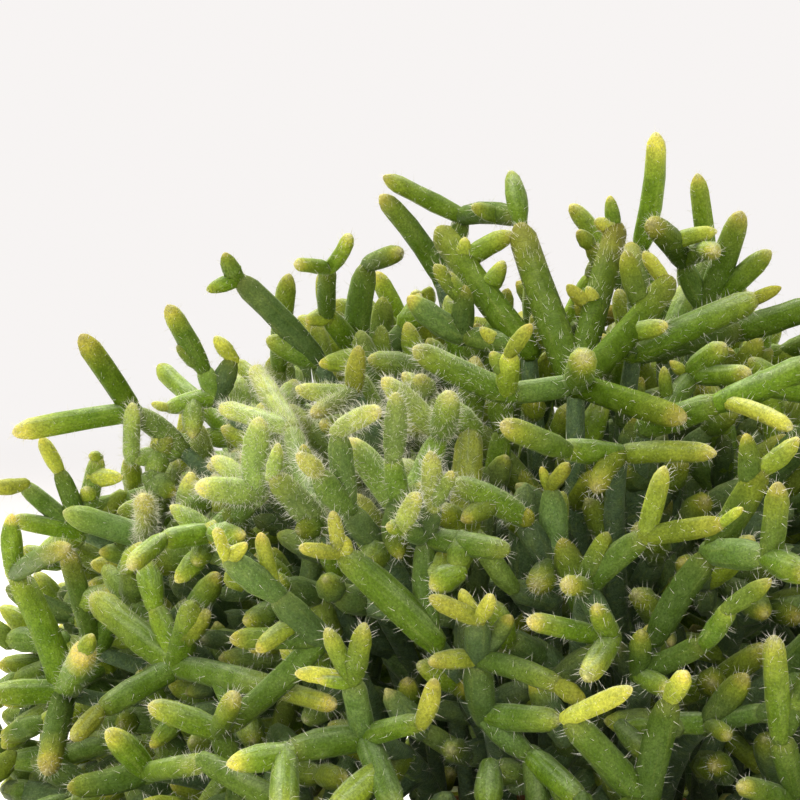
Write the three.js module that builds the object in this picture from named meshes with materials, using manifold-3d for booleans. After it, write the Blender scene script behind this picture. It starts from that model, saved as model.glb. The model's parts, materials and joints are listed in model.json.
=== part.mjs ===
// A mistletoe cactus in a plain clay pot, in millimetres, +Z up.
// The origin is the centre of the pot's foot, on the ground, and the plant's fullest side faces -Y.
//
// The crown is a dome of sprays. Each spray is one stem that stands in its own hole in the soil and
// forks into chains of short round joints. The sprays of the front are drawn by hand, joint by joint,
// and those of the other sides are grown by a rule with a seeded random draw. Late joints then grow
// from the tips into the places that are still open.
import * as THREE from 'three';
import { mergeVertices } from 'three/addons/utils/BufferGeometryUtils.js';
import Module from 'manifold-3d';

const wasm = await Module();
wasm.setup();

// ---- Driving dimensions ----
const POT_HEIGHT = 130;
const POT_RIM_RADIUS = 75;
const POT_FOOT_RADIUS = 52;
const POT_BAND_HEIGHT = 24; // the thicker collar under the rim
const POT_BAND_STEP = 4; // how far the collar stands out of the body
const POT_WALL = 5;
const POT_FLOOR = 7;
const POT_BEVEL = 1.5; // the small bevels of the foot, the collar and the rim
const DRAIN_HOLES = 3;
const DRAIN_RADIUS = 4;
const DRAIN_RING = 26; // distance of the drain holes from the pot's axis

const SOIL_TOP = 117; // level of the soil at the pot's wall
const SOIL_MOUND = 5; // how much higher it is in the middle
const GAP = 0.3; // clearance between pieces that touch
const ROUND_SIDES = 30; // sides of the pot and of the soil
const HOLE_SIDES = 6;
const DRAIN_SIDES = 12;

const CROWN_CENTRE = new THREE.Vector3(0, 0, 150);
const HEART_SHELL = 104; // distance from the crown's centre at which a spray first forks
const STEM_RADIUS = 2.2;
const STEM_WAISTS = [1, 1, 0.7, 1.1, 0.75]; // a stem narrows where its long joints meet
const STEM_STRETCHES = 3; // straight stretches of a stem above the soil
const STEM_UPRIGHT = 2; // a stem leaves its hole straight for this far
const STEM_ARCH = { foot: 0.45, heart: 0.3 }; // how far its ends keep their heading, of its length
const WAIST = 0.6; // width of a joint's tip, of its full width, where more grows on it
const TAPER = 0.84; // width of a joint where its tip begins, of its full width
const RING_SHARES = { shootFull: 0.5, full: 0.28, taper: 0.84 }; // places along a joint
const FOOT_DEPTH = 12; // how deep a stem stands in the soil
const FOOT_CLEARANCE = 0.5;
const ROOT_REACH = 55; // the outermost stems leave the soil this far from the middle
const ROOT_SPACING = 14.3;
const ROOT_TURNS = 600; // rounds of pushing the stems' feet apart
const ROOT_PUSH = 0.25; // how much of the missing room a foot moves in one push
const SIDES = 4; // sides of a joint and of a stem
const FULLNESS = 1.2; // a four-sided joint is this much wider over its corners than a round one
const NECK_DEPTH = 3; // how deep a side branch is sunk in what it grows from
const SPRAY_CLEARANCE = 0.5; // least distance between two sprays
const SHORTEST_EDGE = 0.02; // a fused spray keeps no edge shorter than this
const SEAM_TURNS = 24; // how often a side branch may be turned to find a clean seam
const SEAM_TURN = 0.19;

// ---- Materials ----
const clay = new THREE.MeshStandardMaterial({ color: 0xb9694a, roughness: 0.85, metalness: 0 });
const earth = new THREE.MeshStandardMaterial({ color: 0x3d2c20, roughness: 0.95, metalness: 0 });
const green = new THREE.MeshStandardMaterial({ color: 0x6f9130, roughness: 0.5, metalness: 0 });

// ---- The hand-drawn front ----
// The front sprays are drawn on a flat board through the crown's centre, tilted back by BOARD_TILT.
// Lines from an eye point in front of the board carry every point onto the round crown.
const BOARD_TILT = THREE.MathUtils.degToRad(15);
const EYE_DISTANCE = 450;
const BOARD_ACROSS = new THREE.Vector3(1, 0, 0);
const BOARD_UP = new THREE.Vector3(0, Math.sin(BOARD_TILT), Math.cos(BOARD_TILT));
const BOARD_FRONT = new THREE.Vector3(0, -Math.cos(BOARD_TILT), Math.sin(BOARD_TILT));

// How far a joint's tip rises outwards from the place it grows from. An arm stays inside the crown.
const RISE = { arm: 1, joint: 11, shoot: 8 };

// Each spray: the place of its heart on the board (across, up), how far it lies behind the crown's
// face, and its joints as [grows from, across, up, width, kind, extra rise]. A joint grows from the
// heart (0) or from the tip of an earlier joint of its spray (1, 2, ...).
const DRAWN_SPRAYS = [
  { heart: [19, -5], behind: 0, joints: [
    [0, 2, 14.2, 7, 'joint'], [0, 25.2, 18.6, 6.8, 'joint'], [2, 28.8, 24.3, 4.8, 'shoot'],
    [1, 16.7, 20.8, 4.4, 'shoot']] },
  { heart: [-29, 32], behind: 0, joints: [
    [0, -50, 51.5, 7.2, 'joint'], [1, -52, 61.4, 3.5, 'shoot'], [1, -59.7, 53, 3.4, 'shoot'],
    [0, -30, 55, 5.5, 'arm'], [4, -28.6, 63, 5, 'joint'], [5, -29.3, 75.3, 5, 'shoot'],
    [5, -24.3, 70.6, 3.6, 'shoot'], [4, -36, 57.5, 4.6, 'joint'], [8, -32.4, 65.4, 4.6, 'shoot'],
    [4, -11.8, 52.2, 5.5, 'joint']] },
  { heart: [-54, 32], behind: 0, joints: [
    [0, -65, 42.5, 6.6, 'joint'], [1, -76.5, 50.6, 6.6, 'joint'], [2, -79.2, 57.4, 3.1, 'shoot'],
    [1, -68.7, 56.4, 3.6, 'shoot'], [0, -75.2, 31.8, 4.9, 'joint'], [0, -77, 11, 5.5, 'arm'],
    [6, -93.5, 16.8, 5.6, 'joint'], [6, -73.6, 19.5, 5, 'joint']] },
  { heart: [-17, 15], behind: 0, joints: [
    [0, -18.5, 27.5, 7, 'joint'], [1, -18.3, 36.5, 6, 'joint'], [2, -29.6, 41.6, 4.3, 'shoot'],
    [2, -15.4, 42, 3.6, 'shoot'], [1, -29.7, 26.6, 4.4, 'shoot'], [1, -10.8, 37.3, 4.4, 'shoot'],
    [1, 1.3, 20.8, 5, 'joint'], [0, 0.2, 13.8, 6, 'joint'], [0, -6, 5.5, 5.5, 'arm'],
    [9, 5.3, -5, 6, 'joint']] },
  { heart: [-86, 26], behind: 0, joints: [
    [0, -105.6, 41.9, 6.6, 'joint'], [0, -83.2, 39.7, 6.2, 'joint'], [0, -103.6, 15.7, 5.6, 'joint'],
    [3, -109.8, 9.4, 4.4, 'shoot'], [0, -64, 20.6, 6, 'joint'], [5, -50.6, 16.8, 4.5, 'shoot']] },
  { heart: [-111, 20], behind: 0, joints: [
    [0, -123.4, 46.6, 6.6, 'joint'], [1, -125, 60.5, 4.8, 'shoot'], [1, -112.5, 52.7, 4.5, 'joint'],
    [0, -107.6, 29.6, 6.4, 'joint'], [0, -115.2, 1.8, 6, 'joint'], [0, -129, 19.3, 5.6, 'joint']] },
  { heart: [14, 74], behind: 0, joints: [
    [0, 36, 74, 4.8, 'shoot'], [0, 8.8, 65.8, 5.2, 'shoot'], [0, 1, 75.5, 5.6, 'joint'],
    [3, -13, 81.6, 5.6, 'joint']] },
  { heart: [6, 43.5], behind: 0, joints: [
    [0, 20, 55.4, 6, 'joint'], [1, 24.6, 71.6, 4.5, 'shoot'], [1, 38.3, 58.3, 4.8, 'shoot'],
    [0, 11.3, 56.3, 5.2, 'shoot'], [0, 1.5, 44.3, 4.8, 'shoot', 6], [0, 12, 32, 5.5, 'arm'],
    [6, 8.5, 39.4, 5, 'shoot', 4], [6, -7.2, 36.2, 4.8, 'joint'], [6, 6.2, 22.8, 5.6, 'shoot', 4]] },
  { heart: [4, 90], behind: 0, joints: [
    [0, 6, 96.8, 7, 'joint', 6], [0, -9, 126.5, 6.6, 'joint'], [0, 13.5, 126.5, 5.6, 'joint'],
    [0, 25.5, 114, 6, 'joint'], [0, 29.2, 82, 6, 'joint'], [0, -12, 88, 5.2, 'arm'],
    [6, -33.5, 99, 6.2, 'joint'], [6, -10.8, 98.4, 5.2, 'shoot', 3]] },
  { heart: [-36, 61], behind: 2, joints: [
    [0, -48.6, 78, 6.3, 'joint'], [0, -38, 74, 5, 'joint'], [2, -37.5, 89, 5.2, 'joint'],
    [0, -27, 79, 5.5, 'arm'], [4, -25, 88.8, 6.2, 'joint', 3], [4, -40.6, 92, 5.5, 'joint']] },
  { heart: [-44, 9.5], behind: 0, joints: [
    [0, -47, 22.5, 5.8, 'joint'], [1, -44.3, 35.6, 5, 'shoot'], [1, -53.2, 34.4, 4.2, 'shoot'],
    [0, -62, 6, 6.5, 'joint'], [4, -75.6, 3.4, 6.2, 'shoot'], [0, -37, -7, 6.4, 'joint'],
    [0, -31, 13, 5, 'joint'], [7, -28.3, 22.8, 4.3, 'shoot']] },
  { heart: [20, 80], behind: 3, joints: [
    [0, 37.5, 86, 6.2, 'joint'], [1, 58.5, 95.5, 6.2, 'joint'], [1, 53.2, 79.6, 3.8, 'shoot'],
    [0, 30, 92, 5, 'arm'], [4, 38, 98.8, 5.8, 'joint'], [4, 43.5, 92.4, 4.8, 'joint']] },
  { heart: [-2, 48], behind: 3, joints: [
    [0, -2, 66.5, 6.4, 'joint'], [1, 2.3, 72, 3.4, 'shoot'], [0, -8.5, 59.5, 5.8, 'joint'],
    [3, -23.6, 67.4, 6, 'joint']] },
  { heart: [22, 33], behind: 3, joints: [
    [0, 34.8, 51.6, 6.2, 'joint'], [1, 48, 50, 7, 'joint'], [2, 57, 46.5, 6.6, 'joint'],
    [1, 47.2, 71.8, 6.4, 'joint'], [2, 50.6, 67.8, 5.8, 'joint']] },
  { heart: [18, 24], behind: 1, joints: [
    [0, 33, 31, 5.2, 'joint'], [1, 48.2, 41.8, 5.1, 'joint'], [1, 39.2, 39.6, 4.8, 'joint'],
    [0, 18.7, 33.8, 5, 'joint'], [0, 25, 20.3, 5, 'shoot']] },
  { heart: [33, 13], behind: 2, joints: [
    [0, 42, 24, 6.2, 'joint'], [0, 46.6, 15.8, 4.6, 'joint'], [2, 54.8, 18.7, 4.3, 'shoot'],
    [0, 37.8, 10, 4, 'shoot', 4], [0, 14, 12, 5, 'arm'], [5, 20.4, 5.3, 4.6, 'shoot']] },
  { heart: [53, -5], behind: 0, joints: [
    [0, 49.4, 10.4, 6, 'joint'], [1, 48.6, 32.8, 5.6, 'joint'], [1, 59, 28, 5, 'shoot'],
    [0, 40, -1, 5, 'joint']] },
  { heart: [-41, 53], behind: 5, joints: [
    [0, -48.5, 62, 6, 'joint'], [1, -55.5, 70.5, 6, 'joint'], [2, -60.4, 74.8, 4.5, 'shoot'],
    [1, -50.8, 80, 5.6, 'joint'], [4, -41.3, 84.8, 4.6, 'shoot']] },
  { heart: [-93, 2], behind: 0, joints: [
    [0, -102.6, 11.2, 6, 'joint'], [0, -110.8, -1.4, 5.8, 'joint'], [0, -79.8, 4, 5, 'joint']] },
  { heart: [-79, 56], behind: 2, joints: [
    [0, -88.8, 62.4, 4.6, 'shoot'], [0, -91, 54.3, 5, 'joint'], [2, -98.3, 48.4, 4.5, 'shoot'],
    [0, -69, 65, 5.5, 'arm'], [4, -68.6, 83, 6, 'joint'], [4, -83.4, 66.8, 6, 'joint'],
    [4, -79.6, 73.4, 4.5, 'shoot']] },
  { heart: [-55, 58], behind: 4, joints: [
    [0, -66.4, 70, 6.4, 'joint'], [0, -61, 80, 5, 'arm'], [2, -69.5, 93.6, 4.6, 'shoot'],
    [2, -77.6, 84.9, 4.2, 'shoot']] },
  { heart: [-90, 33], behind: 8, joints: [
    [0, -102.6, 47.9, 5, 'joint'], [0, -83, 38, 5.4, 'arm'], [2, -77.8, 52, 6, 'joint'],
    [3, -90.2, 45, 4.2, 'shoot']] },
  { heart: [-104, 29], behind: 10, joints: [
    [0, -111.5, 52, 4.8, 'joint'], [0, -94, 55, 5.4, 'arm'], [2, -112.7, 60.8, 6, 'joint'],
    [2, -95, 64.5, 5, 'shoot', 3]] },
  { heart: [-47, 88], behind: 4, joints: [
    [0, -60.4, 89.4, 4.4, 'shoot'], [0, -45.7, 99.2, 4.4, 'shoot'], [0, -56.6, 83.4, 4, 'shoot']] },
  { heart: [-86, 75], behind: 8, joints: [
    [0, -97.2, 83.6, 5, 'joint'], [1, -110.3, 102, 5.1, 'joint'], [1, -125.4, 79, 5, 'joint'],
    [0, -97.3, 73, 4.4, 'joint'], [4, -97.6, 85.8, 3.9, 'shoot', 2]] },
  { heart: [-78, 87], behind: 6, joints: [
    [0, -81.5, 94, 4.6, 'joint'], [1, -90, 108.6, 4.8, 'joint'], [1, -87.5, 99, 3.8, 'shoot'],
    [0, -74.3, 96.4, 5.2, 'joint'], [0, -89.4, 84.3, 4.4, 'joint']] },
  { heart: [-7, 98], behind: 8, joints: [
    [0, -27.5, 126, 6.2, 'joint'], [0, -22, 101, 5, 'arm'], [2, -21.5, 113, 5, 'joint'],
    [2, -34.6, 110.5, 5.6, 'joint']] },
  { heart: [17, 97], behind: 6, joints: [
    [0, 45, 109, 6, 'joint'], [0, 20, 99.2, 6, 'joint', 4], [0, 16, 121.5, 4.8, 'joint'],
    [0, 40, 101, 5.4, 'arm'], [4, 58, 107, 6, 'joint']] },
  { heart: [-55, 95], behind: 8, joints: [
    [0, -73.6, 114.6, 5.4, 'joint'], [1, -77, 121, 4.2, 'shoot'], [1, -81, 112, 3.6, 'shoot'],
    [0, -66.8, 100.4, 5.5, 'joint']] },
  { heart: [-46, 97], behind: 14, joints: [
    [0, -43.5, 117.6, 5.6, 'joint'], [1, -36.2, 120.8, 4.4, 'shoot'], [0, -53, 106, 5, 'joint'],
    [3, -53, 117, 4.2, 'joint'], [4, -60.8, 118.6, 3.4, 'shoot'], [4, -48.3, 125.4, 3.6, 'shoot']] },
  { heart: [33, 106], behind: 12, joints: [
    [0, 28, 117.5, 5, 'joint'], [1, 21, 127, 5.8, 'joint'], [1, 35.5, 119.8, 4.4, 'shoot'],
    [0, 41.5, 129, 5.8, 'joint'], [0, 47.8, 119.6, 5, 'joint']] },
  { heart: [-27, 114], behind: 18, joints: [
    [0, -41, 133.5, 5, 'joint'], [0, -22, 128, 4.6, 'joint'], [2, -40.3, 138, 4.2, 'shoot'],
    [2, -9, 128, 5, 'joint'], [4, -11, 139, 4.6, 'shoot']] },
  { heart: [19, 108], behind: 18, joints: [
    [0, 18.5, 121, 5, 'joint'], [1, 22.3, 148, 4.8, 'joint'], [0, 6.3, 122, 5, 'joint']] },
  { heart: [-108, 56], behind: 18, joints: [
    [0, -122.2, 67, 4.2, 'joint'], [1, -131, 66.5, 3.6, 'shoot'], [0, -114, 70.5, 4.2, 'joint'],
    [3, -118.4, 78, 3.6, 'shoot'], [0, -124.6, 59, 4.2, 'joint'], [0, -104.6, 74, 4.4, 'joint']] },
];

// ---- The grown sides ----
const GROWN_LATTICE = 33; // places spread evenly over the whole dome, of which the front is left out
const GROWN_LOWEST = THREE.MathUtils.degToRad(99); // lowest heart, as an angle from straight up
const DRAWN_EDGE = { left: -118, right: 50, bottom: 2 }; // the part of the board that is drawn
const GROWN_SEED = 20;
const GROWN_SINK = 4; // the grown hearts lie this much deeper than the drawn ones
const GROWN_ENDS = [2, 2, 1, 1]; // how many shoots end each of a spray's arms
const GROWN_ARMS_ROUND = 3; // arms that spread round the heart; one more goes straight out
const GROWN_LENGTHS = { arm: [22, 6], shoot: [15, 9] }; // the shortest, and what is added at most
const GROWN_RADII = { arm: 2.5, shoot: 2.2 };
const GROWN_ANGLES = { arm: [0.95, 0.25], straight: 0.15, shoot: [0.4, 0.35] };
const GROWN_FORK = 2.2; // angle between two shoots on one arm
const GROWN_JITTER = 0.5;
const GROWN_OUTWARDS = 0.35; // how much a shoot turns back to grow outwards
const GROWN_DROOP = { most: 0.35, below: 0.5 }; // low sprays hang a little

// ---- Late joints ----
// Once all sprays stand, open places low down and on the other sides get a joint each.
const LATE_SHELLS = [99, 110, 119, 127]; // distances from the crown's centre, from the inside out
const LATE_LATTICE = 200; // places spread evenly over each shell
const LATE_LOWEST = THREE.MathUtils.degToRad(115);
const LATE_FLOOR = 112; // no late joint hangs lower
const LATE_FRONT = 12; // how far they keep away from the drawn part of the board
const LATE_POT = { radius: 84, height: 137 }; // they keep out of the space over the pot's rim
const LATE_REACH = [9, 30];
const LATE_BEND = THREE.MathUtils.degToRad(75);
const LATE_LENGTH_COST = 0.03; // radians of bend that a joint longer by 1 mm is worth
const LATE_FORK = THREE.MathUtils.degToRad(38); // least angle between two joints on one tip
const LATE_TRIES = 8;
const LATE_HOLLOW = 10; // a place this near to a joint isn't open
const LATE_RADIUS = 2.3;

// ---- Finding room for a spray ----
const SINKS = { last: 24, step: 2 }; // how far a drawn spray may move back
const SWAYS = [0, 6, -6, 12, -12]; // how far a stem may bow sideways
const COSTS = { stem: 100, joint: 1, sink: 0.02, sway: 0.002 };

// ---- Small tools ----
/** Seeded random numbers from 0 to 1, the same in every run. */
function seededRandom(seed) {
  let state = seed;
  return () => {
    state = (Math.imul(state, 1664525) + 1013904223) >>> 0;
    return state / 4294967296;
  };
}

/** The point that a spot of the board reaches on the shell of that radius, or level with its rim. */
function fromBoard(across, up, shell, behind) {
  const reach = across * across + up * up;
  const eyeSquared = EYE_DISTANCE * EYE_DISTANCE;
  const inside = eyeSquared * eyeSquared - (eyeSquared + reach) * (eyeSquared - shell * shell);
  const nearer = (eyeSquared - Math.sqrt(Math.max(0, inside))) / (eyeSquared + reach);
  const depth = EYE_DISTANCE * (1 - nearer) - behind;
  const scale = (EYE_DISTANCE - depth) / EYE_DISTANCE;
  const point = CROWN_CENTRE.clone()
    .addScaledVector(BOARD_ACROSS, across * scale)
    .addScaledVector(BOARD_UP, up * scale)
    .addScaledVector(BOARD_FRONT, depth);
  return { point, scale };
}

/** Shortest distance between the middle lines of two straight stretches. */
function stretchDistance(a, b) {
  const u = a.to.clone().sub(a.from);
  const v = b.to.clone().sub(b.from);
  const w = a.from.clone().sub(b.from);
  const uu = u.dot(u);
  const uv = u.dot(v);
  const vv = v.dot(v);
  const uw = u.dot(w);
  const vw = v.dot(w);
  const spread = uu * vv - uv * uv;
  let s = spread > 1e-9 ? THREE.MathUtils.clamp((uv * vw - vv * uw) / spread, 0, 1) : 0;
  let t = (uv * s + vw) / vv;
  if (t < 0 || t > 1) {
    t = THREE.MathUtils.clamp(t, 0, 1);
    s = THREE.MathUtils.clamp((uv * t - uw) / uu, 0, 1);
  }
  return w.addScaledVector(u, s).addScaledVector(v, -t).length();
}

/** True if two stretches come nearer to each other than the clearance allows. */
function crowd(a, b) {
  return stretchDistance(a, b) < (a.radius + b.radius) * FULLNESS + SPRAY_CLEARANCE;
}

// ---- Stems ----
/** Height of the soil's surface at that distance from the middle. */
function soilHeight(distance) {
  return SOIL_TOP + SOIL_MOUND * (1 - (distance / POT_RIM_RADIUS) ** 2);
}

/** Where the stems leave the soil: under their hearts, then pushed apart until they have room. */
function rootPlaces(hearts) {
  const places = hearts.map((heart) => {
    const away = heart.clone().sub(CROWN_CENTRE);
    const lean = away.angleTo(new THREE.Vector3(0, 0, 1)) / GROWN_LOWEST;
    return new THREE.Vector2(away.x, away.y).setLength(ROOT_REACH * Math.min(1, lean));
  });
  for (let turn = 0; turn < ROOT_TURNS; turn += 1) {
    for (const place of places) {
      for (const other of places) {
        if (other === place) continue;
        const away = place.clone().sub(other);
        const lack = ROOT_SPACING - away.length();
        if (lack > 0) {
          place.addScaledVector(away.normalize(), lack * ROOT_PUSH);
          other.addScaledVector(away, -lack * ROOT_PUSH);
        }
      }
    }
    for (const place of places) place.clampLength(0, ROOT_REACH);
  }
  return places;
}

/** A stem from its hole in the soil to its heart: upright at the foot, then arching outwards. */
function stemPoints(root, heart, sway) {
  const foot = new THREE.Vector3(root.x, root.y, soilHeight(root.length()));
  const outwards = heart.clone().sub(CROWN_CENTRE).normalize();
  const sideways = new THREE.Vector3(-outwards.y, outwards.x, 0).normalize();
  const length = heart.distanceTo(foot);
  const arch = new THREE.CubicBezierCurve3(
    foot.clone().add(new THREE.Vector3(0, 0, STEM_UPRIGHT)),
    foot.clone().add(new THREE.Vector3(0, 0, length * STEM_ARCH.foot)).addScaledVector(sideways, sway),
    heart.clone().addScaledVector(outwards, -length * STEM_ARCH.heart).addScaledVector(sideways, sway),
    heart,
  );
  const bottom = foot.clone().add(new THREE.Vector3(0, 0, -FOOT_DEPTH));
  return [bottom, ...arch.getPoints(STEM_STRETCHES)];
}

/** The straight stretches between a stem's points. */
function stemStretches(points) {
  return points.slice(1).map((to, i) => ({ from: points[i], to, radius: STEM_RADIUS }));
}

// ---- Laying out the sprays ----
/** The joints of a drawn spray as straight stretches, with the whole spray moved back by sink. */
function layDrawn(drawing, sink) {
  const behind = drawing.behind + sink;
  const heart = fromBoard(...drawing.heart, HEART_SHELL, behind).point;
  const ends = [{ point: heart, shell: HEART_SHELL }];
  const joints = drawing.joints.map(([grows, across, up, width, kind, extra = 0]) => {
    const shell = ends[grows].shell + RISE[kind] + extra;
    const { point, scale } = fromBoard(across, up, shell, behind);
    ends.push({ point, shell });
    return { grows, from: ends[grows].point, to: point, radius: (width * scale) / 2, kind };
  });
  return { heart, joints };
}

/** A spray grown by rule: three or four long joints off the heart, each with shorter ones on its end. */
function layGrown(heart, random) {
  const outwards = heart.clone().sub(CROWN_CENTRE).normalize();
  const sideways = new THREE.Vector3(0, 0, 1).cross(outwards).normalize();
  const upwards = outwards.clone().cross(sideways);
  const droop = GROWN_DROOP.most * Math.max(0, GROWN_DROOP.below - outwards.z);
  const joints = [];
  const grow = (grows, from, along, length, radius, kind) => {
    const to = from.clone().addScaledVector(along, length);
    joints.push({ grows, from, to, radius, kind });
    return joints.length;
  };
  const lean = (along, turn, angle) => {
    const side = sideways.clone().multiplyScalar(Math.cos(turn)).addScaledVector(upwards, Math.sin(turn));
    const leaning = along.clone().multiplyScalar(Math.cos(angle)).addScaledVector(side, Math.sin(angle));
    leaning.z -= droop;
    return leaning.normalize();
  };
  const draw = ([least, more]) => least + random() * more;
  const jitter = () => (random() - 0.5) * GROWN_JITTER;
  const start = random() * Math.PI * 2;
  GROWN_ENDS.forEach((ends, arm) => {
    const turn = start + (arm * Math.PI * 2) / GROWN_ARMS_ROUND + jitter();
    const angle = arm < GROWN_ARMS_ROUND ? draw(GROWN_ANGLES.arm) : GROWN_ANGLES.straight;
    const along = lean(outwards, turn, angle);
    const tip = grow(0, heart, along, draw(GROWN_LENGTHS.arm), GROWN_RADII.arm, 'joint');
    for (let end = 0; end < ends; end += 1) {
      const fork = turn + (end - (ends - 1) / 2) * GROWN_FORK + jitter();
      const ahead = along.clone().lerp(outwards, GROWN_OUTWARDS).normalize();
      const next = lean(ahead, fork, draw(GROWN_ANGLES.shoot));
      grow(tip, joints[tip - 1].to, next, draw(GROWN_LENGTHS.shoot), GROWN_RADII.shoot, 'shoot');
    }
  });
  return { heart, joints };
}

/** Directions from the crown's centre, spread over the dome in an even spiral. */
function spiral(count, lowestAngle) {
  const lowest = Math.cos(lowestAngle);
  return Array.from({ length: count }, (_, i) => {
    const z = 1 - ((i + 0.5) / count) * (1 - lowest);
    const turn = i * Math.PI * (3 - Math.sqrt(5));
    const flat = Math.sqrt(1 - z * z);
    return new THREE.Vector3(flat * Math.cos(turn), flat * Math.sin(turn), z);
  });
}

/** True if a place, measured from the crown's centre, lies on the drawn front or near its edge. */
function onDrawnFront(away, margin) {
  const depth = away.dot(BOARD_FRONT);
  const scale = (EYE_DISTANCE - depth) / EYE_DISTANCE;
  const across = away.dot(BOARD_ACROSS) / scale;
  const up = away.dot(BOARD_UP) / scale;
  return depth > -margin && up > DRAWN_EDGE.bottom - margin && across > DRAWN_EDGE.left - margin
    && across < DRAWN_EDGE.right + margin;
}

/** The hearts of the grown sprays: an even spiral over the dome, without the drawn front. */
function grownHearts() {
  return spiral(GROWN_LATTICE, GROWN_LOWEST)
    .map((away) => away.multiplyScalar(HEART_SHELL - GROWN_SINK))
    .filter((away) => !onDrawnFront(away, 0))
    .map((away) => away.add(CROWN_CENTRE));
}

/** The joints that stay when some are dropped: what grew on a dropped joint goes with it. */
function withoutJoints(joints, dropped) {
  const places = [0];
  const kept = [];
  joints.forEach((joint, i) => {
    const stays = !dropped.has(i) && places[joint.grows] !== undefined;
    if (stays) kept.push({ ...joint, grows: places[joint.grows] });
    places.push(stays ? kept.length : undefined);
  });
  return kept;
}

/** Lays a spray where it has room: moved back, with its stem swayed, or last with joints left off. */
function settle(lay, root, placed) {
  let best = null;
  for (let sink = 0; sink <= SINKS.last; sink += SINKS.step) {
    const { heart, joints } = lay(sink);
    for (const sway of SWAYS) {
      const points = stemPoints(root, heart, sway);
      const stretches = stemStretches(points);
      const stemHits = stretches.filter((stretch) => placed.some((other) => crowd(stretch, other)));
      const dropped = new Set();
      joints.forEach((joint, i) => {
        if (placed.some((other) => crowd(joint, other))) dropped.add(i);
      });
      const cost = stemHits.length * COSTS.stem + dropped.size * COSTS.joint
        + sink * COSTS.sink + Math.abs(sway) * COSTS.sway;
      if (!best || cost < best.cost) best = { cost, points, stretches, joints, dropped };
    }
    if (best.cost < COSTS.joint) break;
  }
  const joints = withoutJoints(best.joints, best.dropped);
  placed.push(...best.stretches, ...joints);
  return { points: best.points, joints };
}

/** True if a late joint may end there: off the drawn front, clear of the pot and in the open. */
function isOpen(away, target, placed) {
  const overPot = Math.hypot(target.x, target.y) < LATE_POT.radius && target.z < LATE_POT.height;
  if (target.z < LATE_FLOOR || overPot || onDrawnFront(away, LATE_FRONT)) return false;
  const spot = { from: target, to: target.clone().addScaledVector(away.clone().normalize(), 1) };
  return placed.every((other) => stretchDistance(spot, other) > LATE_HOLLOW);
}

/** Gives every open place that a tip can reach its late joint. */
function growLate(sprays, placed) {
  const tips = [];
  const addTip = (spray, place, joint, near) => {
    const along = joint.to.clone().sub(joint.from).normalize();
    tips.push({ spray, place, point: joint.to, along, near: [joint, ...near] });
  };
  for (const spray of sprays) {
    spray.joints.forEach((joint, i) => {
      addTip(spray, i + 1, joint, spray.joints.filter((other) => other.grows === i + 1));
    });
  }
  const reachOf = (tip, target) => {
    const gap = target.clone().sub(tip.point);
    const length = gap.length();
    return { tip, gap, length, bend: gap.angleTo(tip.along) };
  };
  for (const shell of LATE_SHELLS) {
    for (const away of spiral(LATE_LATTICE, LATE_LOWEST)) {
      away.multiplyScalar(shell);
      const target = away.clone().add(CROWN_CENTRE);
      if (!isOpen(away, target, placed)) continue;
      const cost = ({ bend, length }) => bend + length * LATE_LENGTH_COST;
      const reaches = tips.map((tip) => reachOf(tip, target))
        .filter(({ length, bend }) => length > LATE_REACH[0] && length < LATE_REACH[1] && bend < LATE_BEND)
        .sort((a, b) => cost(a) - cost(b)).slice(0, LATE_TRIES);
      const fits = ({ tip, gap }) => {
        const late = { from: tip.point, to: target, radius: LATE_RADIUS };
        const forks = tip.near.slice(1).every((other) => (
          gap.angleTo(other.to.clone().sub(other.from)) > LATE_FORK));
        return forks && placed.every((other) => tip.near.includes(other) || !crowd(late, other));
      };
      const reach = reaches.find(fits);
      if (!reach) continue;
      const { tip } = reach;
      const late = { grows: tip.place, from: tip.point, to: target, radius: LATE_RADIUS, kind: 'shoot' };
      tip.spray.joints.push(late);
      tip.near.push(late);
      placed.push(late);
      addTip(tip.spray, tip.spray.joints.length, late, []);
    }
  }
}

/** Every spray of the crown, drawn ones first. */
function laySprays() {
  const random = seededRandom(GROWN_SEED);
  const grown = grownHearts();
  const drawnHearts = DRAWN_SPRAYS.map((drawing) => layDrawn(drawing, 0).heart);
  const roots = rootPlaces([...drawnHearts, ...grown]);
  const placed = [];
  const layers = [
    ...DRAWN_SPRAYS.map((drawing) => (sink) => layDrawn(drawing, sink)),
    ...grown.map((heart) => {
      const spray = layGrown(heart, random);
      return () => spray;
    }),
  ];
  const sprays = layers.map((lay, i) => ({ root: roots[i], ...settle(lay, roots[i], placed) }));
  growLate(sprays, placed);
  return sprays;
}

// ---- Solids ----
/** A closed geometry as a solid that can be joined and cut. */
function solidOf(geometry) {
  const bare = geometry.clone();
  bare.deleteAttribute('normal');
  bare.deleteAttribute('uv');
  const merged = mergeVertices(bare, 1e-5);
  return new wasm.Manifold(new wasm.Mesh({
    numProp: 3,
    vertProperties: new Float32Array(merged.attributes.position.array),
    triVerts: new Uint32Array(merged.index.array),
  }));
}

/** The geometry of a solid. */
function geometryOf(solid) {
  const mesh = solid.getMesh();
  const geometry = new THREE.BufferGeometry();
  geometry.setAttribute('position', new THREE.BufferAttribute(mesh.vertProperties, 3));
  geometry.setIndex(new THREE.BufferAttribute(mesh.triVerts, 1));
  geometry.computeVertexNormals();
  return geometry;
}

/** Length of the shortest edge of a solid. */
function shortestEdge(solid) {
  const { vertProperties, triVerts } = solid.getMesh();
  const corner = (i) => new THREE.Vector3().fromArray(vertProperties, triVerts[i] * 3);
  let shortest = Infinity;
  for (let i = 0; i < triVerts.length; i += 3) {
    for (let side = 0; side < 3; side += 1) {
      shortest = Math.min(shortest, corner(i + side).distanceTo(corner(i + ((side + 1) % 3))));
    }
  }
  return shortest;
}

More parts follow.
